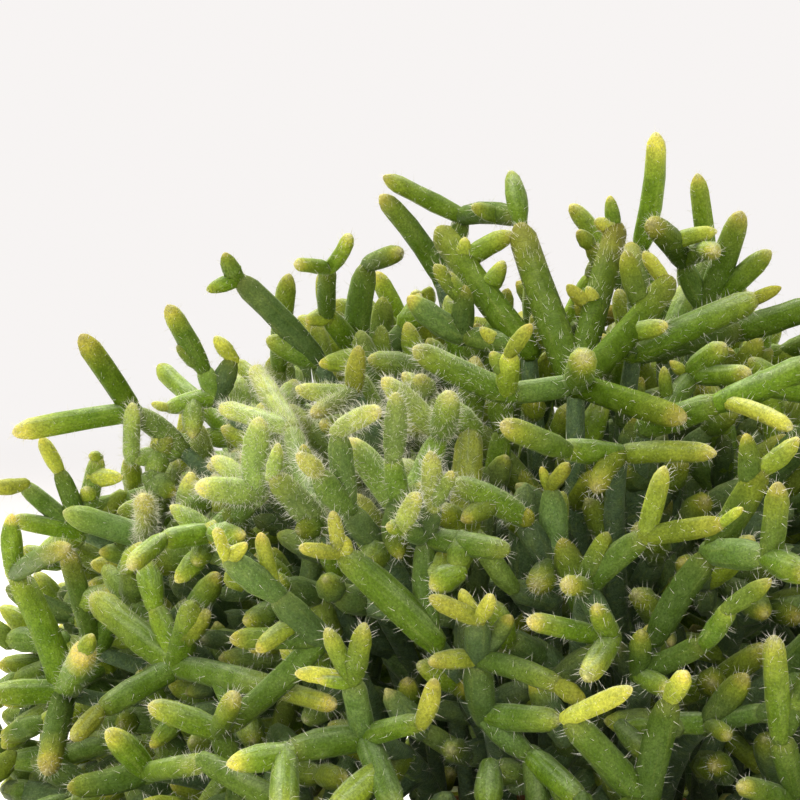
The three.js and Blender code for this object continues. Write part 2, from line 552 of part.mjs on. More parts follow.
/** A turned body laid along a chain of rings, each a point with a radius: 0 is a pointed end. */
function bodyAlong(rings, roll) {
  const last = rings.length - 1;
  const profile = rings.map((ring, i) => new THREE.Vector2(ring.radius, i));
  if (rings[0].radius > 0) profile.unshift(new THREE.Vector2(0, 0));
  if (rings[last].radius > 0) profile.push(new THREE.Vector2(0, last));
  const turns = [];
  let heading = new THREE.Vector3(0, 1, 0);
  let turn = new THREE.Quaternion().setFromAxisAngle(heading, roll);
  rings.forEach((_, i) => {
    const before = rings[Math.max(0, i - 1)].point;
    const after = rings[Math.min(last, i + 1)].point;
    const along = after.clone().sub(before).normalize();
    turn = new THREE.Quaternion().setFromUnitVectors(heading, along).multiply(turn);
    heading = along;
    turns.push(turn);
  });
  const geometry = new THREE.LatheGeometry(profile, SIDES);
  const position = geometry.attributes.position;
  const spot = new THREE.Vector3();
  for (let i = 0; i < position.count; i += 1) {
    spot.fromBufferAttribute(position, i);
    const ring = Math.round(spot.y);
    spot.setY(0).applyQuaternion(turns[ring]).add(rings[ring].point);
    position.setXYZ(i, spot.x, spot.y, spot.z);
  }
  return solidOf(geometry);
}

/** The rings of a joint after its neck: a full body and a tapered tip, or a waist where more grows. */
function jointRings(joint, carries) {
  const at = (share) => joint.from.clone().lerp(joint.to, share);
  const full = joint.radius * FULLNESS;
  if (joint.kind === 'shoot' && !carries) {
    return [{ point: at(RING_SHARES.shootFull), radius: full }, { point: at(1), radius: 0 }];
  }
  return [
    { point: at(RING_SHARES.full), radius: full },
    { point: at(RING_SHARES.taper), radius: full * TAPER },
    { point: at(1), radius: carries ? full * WAIST : 0 },
  ];
}

/** The chains of a spray: its stem with the straightest joints, and one for each side branch. */
function chainsOf({ points, joints }) {
  const chains = [];
  const along = (i) => joints[i].to.clone().sub(joints[i].from).normalize();
  const carries = (i) => joints.some((joint) => joint.grows === i + 1);
  const follow = (rings, place, heading) => {
    const growing = joints.flatMap((joint, i) => (joint.grows === place ? [i] : []));
    growing.sort((a, b) => along(b).dot(heading) - along(a).dot(heading));
    if (growing.length > 0) {
      const [straightest, ...others] = growing;
      const end = joints[straightest].from;
      const neck = { point: end.clone().addScaledVector(heading, -NECK_DEPTH), radius: 0 };
      const longer = [...rings, ...jointRings(joints[straightest], carries(straightest))];
      follow(longer, straightest + 1, along(straightest));
      for (const i of others) {
        follow([neck, ...jointRings(joints[i], carries(i))], i + 1, along(i));
      }
    } else {
      chains.unshift(rings);
    }
  };
  const stem = points.map((point, i) => ({ point, radius: STEM_RADIUS * STEM_WAISTS[i] * FULLNESS }));
  const last = points.length - 1;
  follow(stem, 0, points[last].clone().sub(points[last - 1]).normalize());
  return chains.sort((a, b) => b.length - a.length);
}

/** Joins a piece to a solid, turning it about its own length until no sliver is left at the seam. */
function joinCleanly(solid, makePiece) {
  let best = null;
  for (let turn = 0; turn < SEAM_TURNS; turn += 1) {
    const joined = solid.add(makePiece(turn * SEAM_TURN));
    const shortest = shortestEdge(joined);
    if (!best || shortest > best.shortest) best = { joined, shortest };
    if (shortest > SHORTEST_EDGE) break;
  }
  return best.joined;
}

/** A whole spray as one solid. */
function spraySolid(spray) {
  const [longest, ...others] = chainsOf(spray);
  const joined = others.reduce(
    (solid, chain) => joinCleanly(solid, (roll) => bodyAlong(chain, roll)),
    bodyAlong(longest, 0),
  );
  return geometryOf(joined);
}

/** The pot: a tapered clay pot with a collar, a flat foot and drain holes. */
function potGeometry() {
  const collarBottom = POT_HEIGHT - POT_BAND_HEIGHT;
  const bodyTop = POT_RIM_RADIUS - POT_BAND_STEP - POT_BEVEL;
  const inside = POT_RIM_RADIUS - POT_BAND_STEP - POT_WALL;
  const profile = [
    [0, 0], [POT_FOOT_RADIUS - POT_BEVEL, 0], [POT_FOOT_RADIUS, POT_BEVEL],
    [bodyTop, collarBottom], [POT_RIM_RADIUS - POT_BEVEL, collarBottom],
    [POT_RIM_RADIUS, collarBottom + POT_BEVEL], [POT_RIM_RADIUS, POT_HEIGHT - POT_BEVEL],
    [POT_RIM_RADIUS - POT_BEVEL, POT_HEIGHT], [inside + POT_BEVEL, POT_HEIGHT],
    [inside, POT_HEIGHT - POT_BEVEL], [POT_FOOT_RADIUS - POT_WALL, POT_FLOOR], [0, POT_FLOOR],
  ].map(([x, y]) => new THREE.Vector2(x, y));
  let pot = solidOf(new THREE.LatheGeometry(profile, ROUND_SIDES).rotateX(Math.PI / 2));
  for (let i = 0; i < DRAIN_HOLES; i += 1) {
    const turn = (i / DRAIN_HOLES) * Math.PI * 2 + Math.PI / 6;
    const drain = new THREE.CylinderGeometry(DRAIN_RADIUS, DRAIN_RADIUS, POT_FLOOR * 3, DRAIN_SIDES);
    drain.rotateX(Math.PI / 2);
    drain.translate(DRAIN_RING * Math.cos(turn), DRAIN_RING * Math.sin(turn), 0);
    pot = pot.subtract(solidOf(drain));
  }
  return geometryOf(pot);
}

/** The soil: it fills the pot to SOIL_TOP, mounds up in the middle and has a hole for each stem. */
function soilGeometry(roots) {
  const innerFoot = POT_FOOT_RADIUS - POT_WALL;
  const innerRim = POT_RIM_RADIUS - POT_BAND_STEP - POT_WALL;
  const wallTop = POT_HEIGHT - POT_BEVEL;
  const insideAt = (z) => THREE.MathUtils.mapLinear(z, POT_FLOOR, wallTop, innerFoot, innerRim) - GAP;
  const bottom = POT_FLOOR + GAP;
  const edge = insideAt(SOIL_TOP);
  const middle = edge / 2;
  const profile = [
    [0, bottom], [insideAt(bottom), bottom], [edge, SOIL_TOP], [middle, soilHeight(middle)],
    [0, soilHeight(0)],
  ].map(([x, y]) => new THREE.Vector2(x, y));
  let soil = solidOf(new THREE.LatheGeometry(profile, ROUND_SIDES).rotateX(Math.PI / 2));
  const cornerRadius = (STEM_RADIUS * FULLNESS + FOOT_CLEARANCE) / Math.cos(Math.PI / HOLE_SIDES);
  for (const root of roots) {
    const floor = soilHeight(root.length()) - FOOT_DEPTH - GAP;
    const hole = new THREE.CylinderGeometry(cornerRadius, cornerRadius, FOOT_DEPTH * 2, HOLE_SIDES);
    hole.rotateX(Math.PI / 2);
    hole.translate(root.x, root.y, floor + FOOT_DEPTH);
    soil = soil.subtract(solidOf(hole));
  }
  return geometryOf(soil);
}

// ---- The plant in its pot ----
const plant = new THREE.Group();
const addPiece = (name, geometry, material) => {
  const mesh = new THREE.Mesh(geometry, material);
  mesh.name = name;
  plant.add(mesh);
};

const sprays = laySprays();
addPiece('pot', potGeometry(), clay);
addPiece('soil', soilGeometry(sprays.map((spray) => spray.root)), earth);
sprays.forEach((spray, i) => {
  addPiece(`spray_${String(i + 1).padStart(2, '0')}`, spraySolid(spray), green);
});

export default plant;
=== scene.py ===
# %% [markdown]
# # A mistletoe cactus in a clay pot
#
# The plant is a dome of soft green stems. Each stem is a chain of short round joints, and new joints
# sprout in twos and threes from the tips of older ones, so the whole crown is one shape repeated some
# thousands of times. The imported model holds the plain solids: a pot, the soil and one node for each
# spray. This lesson loads that frame, lays the same sprays out again by the same rule, and dresses them
# with finer joints, buds and bristles.

# %% Load the frame
import itertools
import json
import math
import bpy
import numpy as np
from mathutils import Matrix, Vector

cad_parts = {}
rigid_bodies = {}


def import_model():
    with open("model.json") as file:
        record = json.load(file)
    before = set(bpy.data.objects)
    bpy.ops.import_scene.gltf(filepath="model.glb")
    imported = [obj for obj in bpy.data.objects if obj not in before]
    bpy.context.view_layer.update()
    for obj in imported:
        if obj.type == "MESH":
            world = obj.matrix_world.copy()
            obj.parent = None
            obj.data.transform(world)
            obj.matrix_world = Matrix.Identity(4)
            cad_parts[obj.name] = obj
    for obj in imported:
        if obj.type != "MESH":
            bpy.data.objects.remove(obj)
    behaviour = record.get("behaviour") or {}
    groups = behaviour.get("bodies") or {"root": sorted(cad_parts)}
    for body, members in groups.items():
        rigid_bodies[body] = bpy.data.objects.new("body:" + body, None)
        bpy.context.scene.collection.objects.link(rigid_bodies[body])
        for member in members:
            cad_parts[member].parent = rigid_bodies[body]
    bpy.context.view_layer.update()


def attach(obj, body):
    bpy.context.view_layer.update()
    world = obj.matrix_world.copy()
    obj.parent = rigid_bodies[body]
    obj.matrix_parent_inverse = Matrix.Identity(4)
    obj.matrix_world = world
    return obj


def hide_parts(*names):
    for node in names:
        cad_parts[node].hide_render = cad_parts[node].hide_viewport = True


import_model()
MM = 0.001  # the lesson counts in millimetres, Blender in metres

# %% [markdown]
# ## The camera
#
# A plant like this is looked at from close by, at the height of its crown, so the crown fills the
# picture and the pot stays below its edge. A long lens from half a metre away keeps the joints' sizes
# true. The camera is placed by a position and three plain angles.

# %% Camera
CAMERA_PLACE = (2.6, -488.1, 276.4)
CAMERA_YAW = math.radians(4.33)  # turned to the left
CAMERA_PITCH = math.radians(-4.88)  # tipped down
CAMERA_ROLL = math.radians(-0.79)
CAMERA_LENS = 102.7
CAMERA_NEAR = 0.02  # metres: nothing closer than this is seen


def in_scene(name, data):
    """A new object with that data, at the origin of the scene."""
    thing = bpy.data.objects.new(name, data)
    bpy.context.scene.collection.objects.link(thing)
    return thing


camera_data = bpy.data.cameras.new("camera")
camera_data.lens, camera_data.clip_start = CAMERA_LENS, CAMERA_NEAR
camera = in_scene("camera", camera_data)
level = Matrix.Rotation(math.radians(90) + CAMERA_PITCH, 4, "X")
camera.matrix_world = (Matrix.Translation(Vector(CAMERA_PLACE) * MM)
                       @ Matrix.Rotation(CAMERA_YAW, 4, "Z") @ level
                       @ Matrix.Rotation(CAMERA_ROLL, 4, "Z"))
bpy.context.scene.camera = camera
print("camera", [round(v, 3) for v in camera.location])

# %% [markdown]
# ## Nodes without clutter
#
# Materials and Geometry Nodes are both graphs. One small helper adds a node, sets its properties and
# either fills or links its inputs. The others name the steps that recur, so that each graph below reads
# as a list of steps.

# %% Helpers for node graphs
def fill_inputs(tree, node, inputs):
    """Links each input that is given as a socket and fills in any other value."""
    for socket, value in inputs.items():
        if isinstance(value, bpy.types.NodeSocket):
            tree.links.new(value, node.inputs[socket])
        else:
            node.inputs[socket].default_value = value


def add_node(tree, kind, inputs=None, **settings):
    """Adds a node, sets its properties and gives it its inputs."""
    node = tree.nodes.new(kind)
    for name, value in settings.items():
        setattr(node, name, value)
    fill_inputs(tree, node, inputs or {})
    return node


def math_node(tree, operation, a, b=0.0, clamp=False):
    """The output of one operation on two numbers."""
    return add_node(tree, "ShaderNodeMath", {0: a, 1: b}, operation=operation, use_clamp=clamp).outputs[0]


def plus(tree, total, *others):
    for other in others:
        total = math_node(tree, "ADD", total, other)
    return total


def times(tree, product, *others, clamp=False):
    for other in others:
        product = math_node(tree, "MULTIPLY", product, other, clamp)
    return product


def vector_node(tree, operation, a, b=None, scale=None, output=0):
    """The output of one operation on vectors."""
    given = {0: a, 1: b, "Scale": scale}
    given = {socket: value for socket, value in given.items() if value is not None}
    return add_node(tree, "ShaderNodeVectorMath", given, operation=operation).outputs[output]


def stretch(tree, value, low, high, new_low=0.0, new_high=1.0):
    """The value, with the range from low to high spread over the new one and held at its ends."""
    return add_node(tree, "ShaderNodeMapRange", {"Value": value, "From Min": low, "From Max": high,
                                                 "To Min": new_low, "To Max": new_high}).outputs["Result"]


def mix_colours(tree, factor, a, b):
    """The output of a blend from colour a to colour b."""
    return add_node(tree, "ShaderNodeMix", {0: factor, 6: a, 7: b}, data_type="RGBA").outputs[2]


def noise(tree, spot, scale, detail=2.0, roughness=0.5):
    return add_node(tree, "ShaderNodeTexNoise", {"Vector": spot, "Scale": scale, "Detail": detail,
                                                 "Roughness": roughness}).outputs["Fac"]


def bump(tree, height, strength, distance):
    """A normal that makes the surface look as rough as the height says."""
    return add_node(tree, "ShaderNodeBump", {"Height": height, "Strength": strength,
                                             "Distance": distance}).outputs[0]


def new_material(name, **values):
    """A material with its tree, its Principled shader with those values, and its Object coordinates."""
    material = bpy.data.materials.new(name)
    material.use_nodes = True
    tree = material.node_tree
    shader = tree.nodes["Principled BSDF"]
    fill_inputs(tree, shader, {socket.replace("_", " "): value for socket, value in values.items()})
    return material, tree, shader, add_node(tree, "ShaderNodeTexCoord").outputs["Object"]


def new_tree(name, output, **inputs):
    """A Geometry Nodes tree with named inputs, and the sockets where they arrive."""
    tree = bpy.data.node_groups.new(name, "GeometryNodeTree")
    for socket, kind in inputs.items():
        tree.interface.new_socket(socket.replace("_", " "), in_out="INPUT", socket_type="NodeSocket" + kind)
    tree.interface.new_socket(output, in_out="OUTPUT", socket_type="NodeSocketGeometry")
    return tree, add_node(tree, "NodeGroupInput").outputs


def end_tree(tree, geometry, material):
    """Ends a tree in one plain mesh with a material, because only plain meshes can be passed on."""
    plain = add_node(tree, "GeometryNodeRealizeInstances", {"Geometry": geometry}).outputs[0]
    done = add_node(tree, "GeometryNodeSetMaterial", {"Geometry": plain, "Material": material})
    add_node(tree, "NodeGroupOutput", {0: done.outputs[0]})
    return tree


def attribute(tree, name, kind="FLOAT"):
    return add_node(tree, "GeometryNodeInputNamedAttribute", {"Name": name},
                    data_type=kind).outputs["Attribute"]


def random_value(tree, low, high, seed):
    """A random number, or a random vector where the limits are vectors, for each point."""
    vector = isinstance(low, tuple)
    node = add_node(tree, "FunctionNodeRandomValue", data_type="FLOAT_VECTOR" if vector else "FLOAT")
    first = 0 if vector else 2
    fill_inputs(tree, node, {first: low, first + 1: high, "Seed": seed})
    return node.outputs[0 if vector else 1]


def run_tree(tree, mesh, name, **inputs):
    """Runs a tree on a mesh and returns the result as a plain object with no modifier."""
    worker = in_scene(name + "_worker", mesh)
    modifier = worker.modifiers.new("nodes", "NODES")
    modifier.node_group = tree
    for socket in tree.interface.items_tree:
        if socket.in_out == "INPUT" and socket.name.replace(" ", "_") in inputs:
            modifier[socket.identifier] = inputs[socket.name.replace(" ", "_")]
    evaluated = worker.evaluated_get(bpy.context.evaluated_depsgraph_get())
    result = bpy.data.meshes.new_from_object(evaluated)
    result.name = name
    bpy.data.objects.remove(worker)
    return in_scene(name, result)


print("helpers ready")

# %% [markdown]
# ## Studio light
#
# The crown stands before a bright, almost white background, with soft light from above and behind on
# the left. Bright surroundings give the waxy stems their pale edges, and a weak lamp beside the camera
# opens the shadows. The floor is one large pale disc whose colour runs into the background, so no
# horizon line cuts through the picture.

# %% Background, floor and lamps
BACKGROUND = (0.93, 0.905, 0.895, 1.0)
ROOM_LIGHT = 0.9  # how strongly the room lights the plant; the camera sees it at full strength
FLOOR_COLOUR = (0.86, 0.84, 0.83, 1.0)
FLOOR_RADIUS, FLOOR_SIDES = 9.0, 96
FLOOR_FADE = (0.6, 2.6)  # metres from the pot: between these the floor turns into background
LAMP_TARGET = Vector((0, 0, 0.19))
LAMPS = (  # name, place and size in metres, power, whether it leaves highlights, colour
    ("window", (-0.55, 0.9, 1.2), 0.8, 30.5, False, (1.0, 0.95, 0.84)),
    ("ceiling", (-0.3, 0.5, 1.5), 0.8, 11.0, True, (1.0, 0.97, 0.9)),
    ("front_fill", (-0.3, -1.45, 0.62), 1.3, 12.0, False, (0.93, 0.96, 1.0)),
)

world = bpy.data.worlds.new("pale room")
world.use_nodes = True
tree = world.node_tree
seen = add_node(tree, "ShaderNodeLightPath").outputs["Is Camera Ray"]
strength = plus(tree, times(tree, seen, 1 - ROOM_LIGHT), ROOM_LIGHT)
fill_inputs(tree, tree.nodes["Background"], {"Color": BACKGROUND, "Strength": strength})
bpy.context.scene.world = world
bpy.context.scene.view_settings.view_transform = "Standard"

paper, tree, shader, spot = new_material("pale floor", Roughness=0.9, Base_Color=FLOOR_COLOUR)
away = vector_node(tree, "LENGTH", spot, output="Value")
far = add_node(tree, "ShaderNodeMapRange", {"Value": away, "From Min": FLOOR_FADE[0],
                                            "From Max": FLOOR_FADE[1]}, interpolation_type="SMOOTHSTEP")
glow = add_node(tree, "ShaderNodeEmission", {"Color": BACKGROUND, "Strength": 1.0})
blend = add_node(tree, "ShaderNodeMixShader",
                 {0: far.outputs["Result"], 1: shader.outputs[0], 2: glow.outputs[0]})
fill_inputs(tree, tree.nodes["Material Output"], {"Surface": blend.outputs[0]})

floor_mesh = bpy.data.meshes.new("floor")
rim = [(FLOOR_RADIUS * math.cos(i * math.tau / FLOOR_SIDES),
        FLOOR_RADIUS * math.sin(i * math.tau / FLOOR_SIDES), 0.0) for i in range(FLOOR_SIDES)]
floor_mesh.from_pydata(rim, [], [list(range(FLOOR_SIDES))])
floor_mesh.materials.append(paper)
floor = in_scene("floor", floor_mesh)

for name, place, size, power, shines, colour in LAMPS:
    data = bpy.data.lights.new(name, "AREA")
    data.size, data.energy, data.color = size, power, colour
    lamp = in_scene(name, data)
    lamp.location = place
    lamp.rotation_mode = "QUATERNION"
    lamp.rotation_quaternion = (LAMP_TARGET - Vector(place)).to_track_quat("-Z", "Y")
    lamp.visible_glossy = shines
print("lamps", [row[0] for row in LAMPS])

# %% [markdown]
# ## Where the joints grow: the front
#
# The front of the crown is drawn on a flat board that stands in the crown's centre and leans
# back a little. A spray is its heart's place on the board, how far that lies behind the usual, and one
# row for each joint: what it grows from (0 is the heart, 1, 2, ... an earlier joint), its tip across
# and up the board in millimetres and its width. A plain joint says no more. Other rows name the look
# and the kind, and a last number says how far the tip rises beyond the usual. The looks are the plant's
# own: lemon and amber new growth, olive half-grown shoots, a lemon or orange tip on a green joint, and
# tips with a brush of hairs.

# %% The drawn sprays
DRAWN_SPRAYS = [
    ((19, -5), 0, [
        (0, 2, 14.2, 7), (0, 25.2, 18.6, 6.8), (2, 28.8, 24.3, 4.8, "amber shoot"),
        (1, 16.7, 20.8, 4.4, "lemon shoot"),
    ]),
    ((-29, 32), 0, [
        (0, -50, 51.5, 7.2), (1, -52, 61.4, 3.5, "lemon shoot"), (1, -59.7, 53, 3.4, "lemon shoot"),
        (0, -30, 55, 5.5, "arm"), (4, -28.6, 63, 5), (5, -29.3, 75.3, 5, "olive shoot"),
        (5, -24.3, 70.6, 3.6, "shoot"), (4, -36, 57.5, 4.6), (8, -32.4, 65.4, 4.6, "olive shoot"),
        (4, -11.8, 52.2, 5.5),
    ]),
    ((-54, 32), 0, [
        (0, -65, 42.5, 6.6), (1, -76.5, 50.6, 6.6), (2, -79.2, 57.4, 3.1, "lemon shoot"),
        (1, -68.7, 56.4, 3.6, "amber shoot"), (0, -75.2, 31.8, 4.9), (0, -77, 11, 5.5, "arm"),
        (6, -93.5, 16.8, 5.6, "hairy joint"), (6, -73.6, 19.5, 5, "hairy joint"),
    ]),
    ((-17, 15), 0, [
        (0, -18.5, 27.5, 7), (1, -18.3, 36.5, 6), (2, -29.6, 41.6, 4.3, "lemon shoot"),
        (2, -15.4, 42, 3.6, "lemon shoot"), (1, -29.7, 26.6, 4.4, "amber shoot"),
        (1, -10.8, 37.3, 4.4, "shoot"), (1, 1.3, 20.8, 5), (0, 0.2, 13.8, 6), (0, -6, 5.5, 5.5, "arm"),
        (9, 5.3, -5, 6),
    ]),
    ((-86, 26), 0, [
        (0, -105.6, 41.9, 6.6, "hairy joint"), (0, -83.2, 39.7, 6.2, "tip joint"), (0, -103.6, 15.7, 5.6),
        (3, -109.8, 9.4, 4.4, "lemon shoot"), (0, -64, 20.6, 6), (5, -50.6, 16.8, 4.5, "amber shoot"),
    ]),
    ((-111, 20), 0, [
        (0, -123.4, 46.6, 6.6, "tip joint"), (1, -125, 60.5, 4.8, "orange shoot"), (1, -112.5, 52.7, 4.5),
        (0, -107.6, 29.6, 6.4, "orange joint"), (0, -115.2, 1.8, 6, "orange joint"), (0, -129, 19.3, 5.6),
    ]),
    ((14, 74), 0, [
        (0, 36, 74, 4.8, "olive shoot"), (0, 8.8, 65.8, 5.2, "olive shoot"), (0, 1, 75.5, 5.6),
        (3, -13, 81.6, 5.6, "hairy joint"),
    ]),
    ((6, 43.5), 0, [
        (0, 20, 55.4, 6), (1, 24.6, 71.6, 4.5, "olive shoot"), (1, 38.3, 58.3, 4.8, "olive shoot"),
        (0, 11.3, 56.3, 5.2, "shoot"), (0, 1.5, 44.3, 4.8, "hairy shoot", 6), (0, 12, 32, 5.5, "arm"),
        (6, 8.5, 39.4, 5, "shoot", 4), (6, -7.2, 36.2, 4.8, "orange joint"),
        (6, 6.2, 22.8, 5.6, "hairy shoot", 4),
    ]),
    ((4, 90), 0, [
        (0, 6, 96.8, 7, "joint", 6), (0, -9, 126.5, 6.6), (0, 13.5, 126.5, 5.6), (0, 25.5, 114, 6),
        (0, 29.2, 82, 6), (0, -12, 88, 5.2, "arm"), (6, -33.5, 99, 6.2),
        (6, -10.8, 98.4, 5.2, "olive shoot", 3),
    ]),
    ((-36, 61), 2, [
        (0, -48.6, 78, 6.3, "orange joint"), (0, -38, 74, 5), (2, -37.5, 89, 5.2),
        (0, -27, 79, 5.5, "arm"), (4, -25, 88.8, 6.2, "joint", 3), (4, -40.6, 92, 5.5, "olive joint"),
    ]),
    ((-44, 9.5), 0, [
        (0, -47, 22.5, 5.8), (1, -44.3, 35.6, 5, "hairy shoot"), (1, -53.2, 34.4, 4.2, "hairy shoot"),
        (0, -62, 6, 6.5), (4, -75.6, 3.4, 6.2, "tip shoot"), (0, -37, -7, 6.4), (0, -31, 13, 5),
        (7, -28.3, 22.8, 4.3, "lemon shoot"),
    ]),
    ((20, 80), 3, [
        (0, 37.5, 86, 6.2), (1, 58.5, 95.5, 6.2), (1, 53.2, 79.6, 3.8, "lemon shoot"),
        (0, 30, 92, 5, "arm"), (4, 38, 98.8, 5.8), (4, 43.5, 92.4, 4.8),
    ]),
    ((-2, 48), 3, [
        (0, -2, 66.5, 6.4), (1, 2.3, 72, 3.4, "lemon shoot"), (0, -8.5, 59.5, 5.8), (3, -23.6, 67.4, 6),
    ]),
    ((22, 33), 3, [
        (0, 34.8, 51.6, 6.2), (1, 48, 50, 7), (2, 57, 46.5, 6.6), (1, 47.2, 71.8, 6.4, "hairy joint"),
        (2, 50.6, 67.8, 5.8, "hairy joint"),
    ]),
    ((18, 24), 1, [
        (0, 33, 31, 5.2), (1, 48.2, 41.8, 5.1, "hairy joint"), (1, 39.2, 39.6, 4.8), (0, 18.7, 33.8, 5),
        (0, 25, 20.3, 5, "shoot"),
    ]),
    ((33, 13), 2, [
        (0, 42, 24, 6.2, "hairy joint"), (0, 46.6, 15.8, 4.6), (2, 54.8, 18.7, 4.3, "shoot"),
        (0, 37.8, 10, 4, "hairy shoot", 4), (0, 14, 12, 5, "arm"), (5, 20.4, 5.3, 4.6, "shoot"),
    ]),
    ((53, -5), 0, [
        (0, 49.4, 10.4, 6), (1, 48.6, 32.8, 5.6, "hairy joint"), (1, 59, 28, 5, "shoot"), (0, 40, -1, 5),
    ]),
    ((-41, 53), 5, [
        (0, -48.5, 62, 6), (1, -55.5, 70.5, 6), (2, -60.4, 74.8, 4.5, "lemon shoot"), (1, -50.8, 80, 5.6),
        (4, -41.3, 84.8, 4.6, "olive shoot"),
    ]),
    ((-93, 2), 0, [
        (0, -102.6, 11.2, 6, "tip joint"), (0, -110.8, -1.4, 5.8), (0, -79.8, 4, 5, "hairy joint"),
    ]),
    ((-79, 56), 2, [
        (0, -88.8, 62.4, 4.6, "shoot"), (0, -91, 54.3, 5), (2, -98.3, 48.4, 4.5, "hairy shoot"),
        (0, -69, 65, 5.5, "arm"), (4, -68.6, 83, 6), (4, -83.4, 66.8, 6, "hairy joint"),
        (4, -79.6, 73.4, 4.5, "hairy shoot"),
    ]),
    ((-55, 58), 4, [
        (0, -66.4, 70, 6.4, "hairy joint"), (0, -61, 80, 5, "arm"), (2, -69.5, 93.6, 4.6, "olive shoot"),
        (2, -77.6, 84.9, 4.2, "hairy shoot"),
    ]),
    ((-90, 33), 8, [
        (0, -102.6, 47.9, 5, "hairy joint"), (0, -83, 38, 5.4, "arm"), (2, -77.8, 52, 6),
        (3, -90.2, 45, 4.2, "hairy shoot"),
    ]),
    ((-104, 29), 10, [
        (0, -111.5, 52, 4.8, "orange joint"), (0, -94, 55, 5.4, "arm"), (2, -112.7, 60.8, 6),
        (2, -95, 64.5, 5, "hairy shoot", 3),
    ]),
    ((-47, 88), 4, [
        (0, -60.4, 89.4, 4.4, "hairy shoot"), (0, -45.7, 99.2, 4.4, "lemon shoot"),
        (0, -56.6, 83.4, 4, "hairy shoot"),
    ]),
    ((-86, 75), 8, [
        (0, -97.2, 83.6, 5), (1, -110.3, 102, 5.1, "tip joint"), (1, -125.4, 79, 5, "tip joint"),
        (0, -97.3, 73, 4.4), (4, -97.6, 85.8, 3.9, "shoot", 2),
    ]),
    ((-78, 87), 6, [
        (0, -81.5, 94, 4.6), (1, -90, 108.6, 4.8, "tip joint"), (1, -87.5, 99, 3.8, "shoot"),
        (0, -74.3, 96.4, 5.2), (0, -89.4, 84.3, 4.4),
    ]),
    ((-7, 98), 8, [
        (0, -27.5, 126, 6.2), (0, -22, 101, 5, "arm"), (2, -21.5, 113, 5),
        (2, -34.6, 110.5, 5.6, "orange joint"),
    ]),
    ((17, 97), 6, [
        (0, 45, 109, 6), (0, 20, 99.2, 6, "joint", 4), (0, 16, 121.5, 4.8), (0, 40, 101, 5.4, "arm"),
        (4, 58, 107, 6),
    ]),
    ((-55, 95), 8, [
        (0, -73.6, 114.6, 5.4), (1, -77, 121, 4.2, "shoot"), (1, -81, 112, 3.6, "shoot"),
        (0, -66.8, 100.4, 5.5),
    ]),
    ((-46, 97), 14, [
        (0, -43.5, 117.6, 5.6), (1, -36.2, 120.8, 4.4, "shoot"), (0, -53, 106, 5), (3, -53, 117, 4.2),
        (4, -60.8, 118.6, 3.4, "shoot"), (4, -48.3, 125.4, 3.6, "shoot"),
    ]),
    ((33, 106), 12, [
        (0, 28, 117.5, 5), (1, 21, 127, 5.8), (1, 35.5, 119.8, 4.4, "shoot"), (0, 41.5, 129, 5.8),
        (0, 47.8, 119.6, 5),
    ]),
    ((-27, 114), 18, [
        (0, -41, 133.5, 5), (0, -22, 128, 4.6), (2, -40.3, 138, 4.2, "shoot"), (2, -9, 128, 5),
        (4, -11, 139, 4.6, "shoot"),
    ]),
    ((19, 108), 18, [
        (0, 18.5, 121, 5), (1, 22.3, 148, 4.8, "tip joint"), (0, 6.3, 122, 5),
    ]),
    ((-108, 56), 18, [
        (0, -122.2, 67, 4.2), (1, -131, 66.5, 3.6, "lemon shoot"), (0, -114, 70.5, 4.2),
        (3, -118.4, 78, 3.6, "lemon shoot"), (0, -124.6, 59, 4.2), (0, -104.6, 74, 4.4),
    ]),
]

# %% [markdown]
# ## From the board onto the round crown
#
# A spot on the board is carried along the line of sight from an eye point until it meets a shell, a
# sphere about the crown's centre. The heart of a spray, where its stem first forks, lies on a shell of
# 104 mm, and each joint's tip lies some millimetres further out than the place it grows from. That is
# all it takes to turn a flat drawing into a round plant.

# %% Board, shells and the eye
CROWN_CENTRE = np.array([0.0, 0.0, 150.0])
HEART_SHELL = 104.0
BOARD_TILT = math.radians(15)
EYE_DISTANCE = 450.0
BOARD_ACROSS = np.array([1.0, 0.0, 0.0])
BOARD_UP = np.array([0.0, math.sin(BOARD_TILT), math.cos(BOARD_TILT)])
BOARD_FRONT = np.array([0.0, -math.cos(BOARD_TILT), math.sin(BOARD_TILT)])
RISE = {"arm": 1, "joint": 11, "shoot": 8}


def norm(vector):
    return math.sqrt(float(vector @ vector))


def norms(vectors):
    return np.sqrt(np.einsum("ij,ij->i", vectors, vectors))


def unit(vector):
    length = norm(vector)
    return vector / length if length > 0 else vector


def on_sight_line(across, up, depth):
    """The point at that depth before the board which the eye sees at that spot of the board."""
    scale = (EYE_DISTANCE - depth) / EYE_DISTANCE
    return CROWN_CENTRE + BOARD_ACROSS * across * scale + BOARD_UP * up * scale + BOARD_FRONT * depth


def from_board(across, up, shell, behind):
    """The point a board spot reaches on a shell, or level with its rim, and its scale there."""
    reach = across * across + up * up
    eye_squared = EYE_DISTANCE * EYE_DISTANCE
    inside = eye_squared * eye_squared - (eye_squared + reach) * (eye_squared - shell * shell)
    nearer = (eye_squared - math.sqrt(max(0.0, inside))) / (eye_squared + reach)
    depth = EYE_DISTANCE * (1 - nearer) - behind
    return on_sight_line(across, up, depth), (EYE_DISTANCE - depth) / EYE_DISTANCE


def to_board(points):
    """Where on the board the eye sees each point, and how far before the board it lies."""
    away = np.asarray(points) - CROWN_CENTRE
    depth = away @ BOARD_FRONT
    scale = (EYE_DISTANCE - depth) / EYE_DISTANCE
    return away @ BOARD_ACROSS / scale, away @ BOARD_UP / scale, depth


print("heart of the first spray", from_board(*DRAWN_SPRAYS[0][0], HEART_SHELL, 0)[0].round(1))

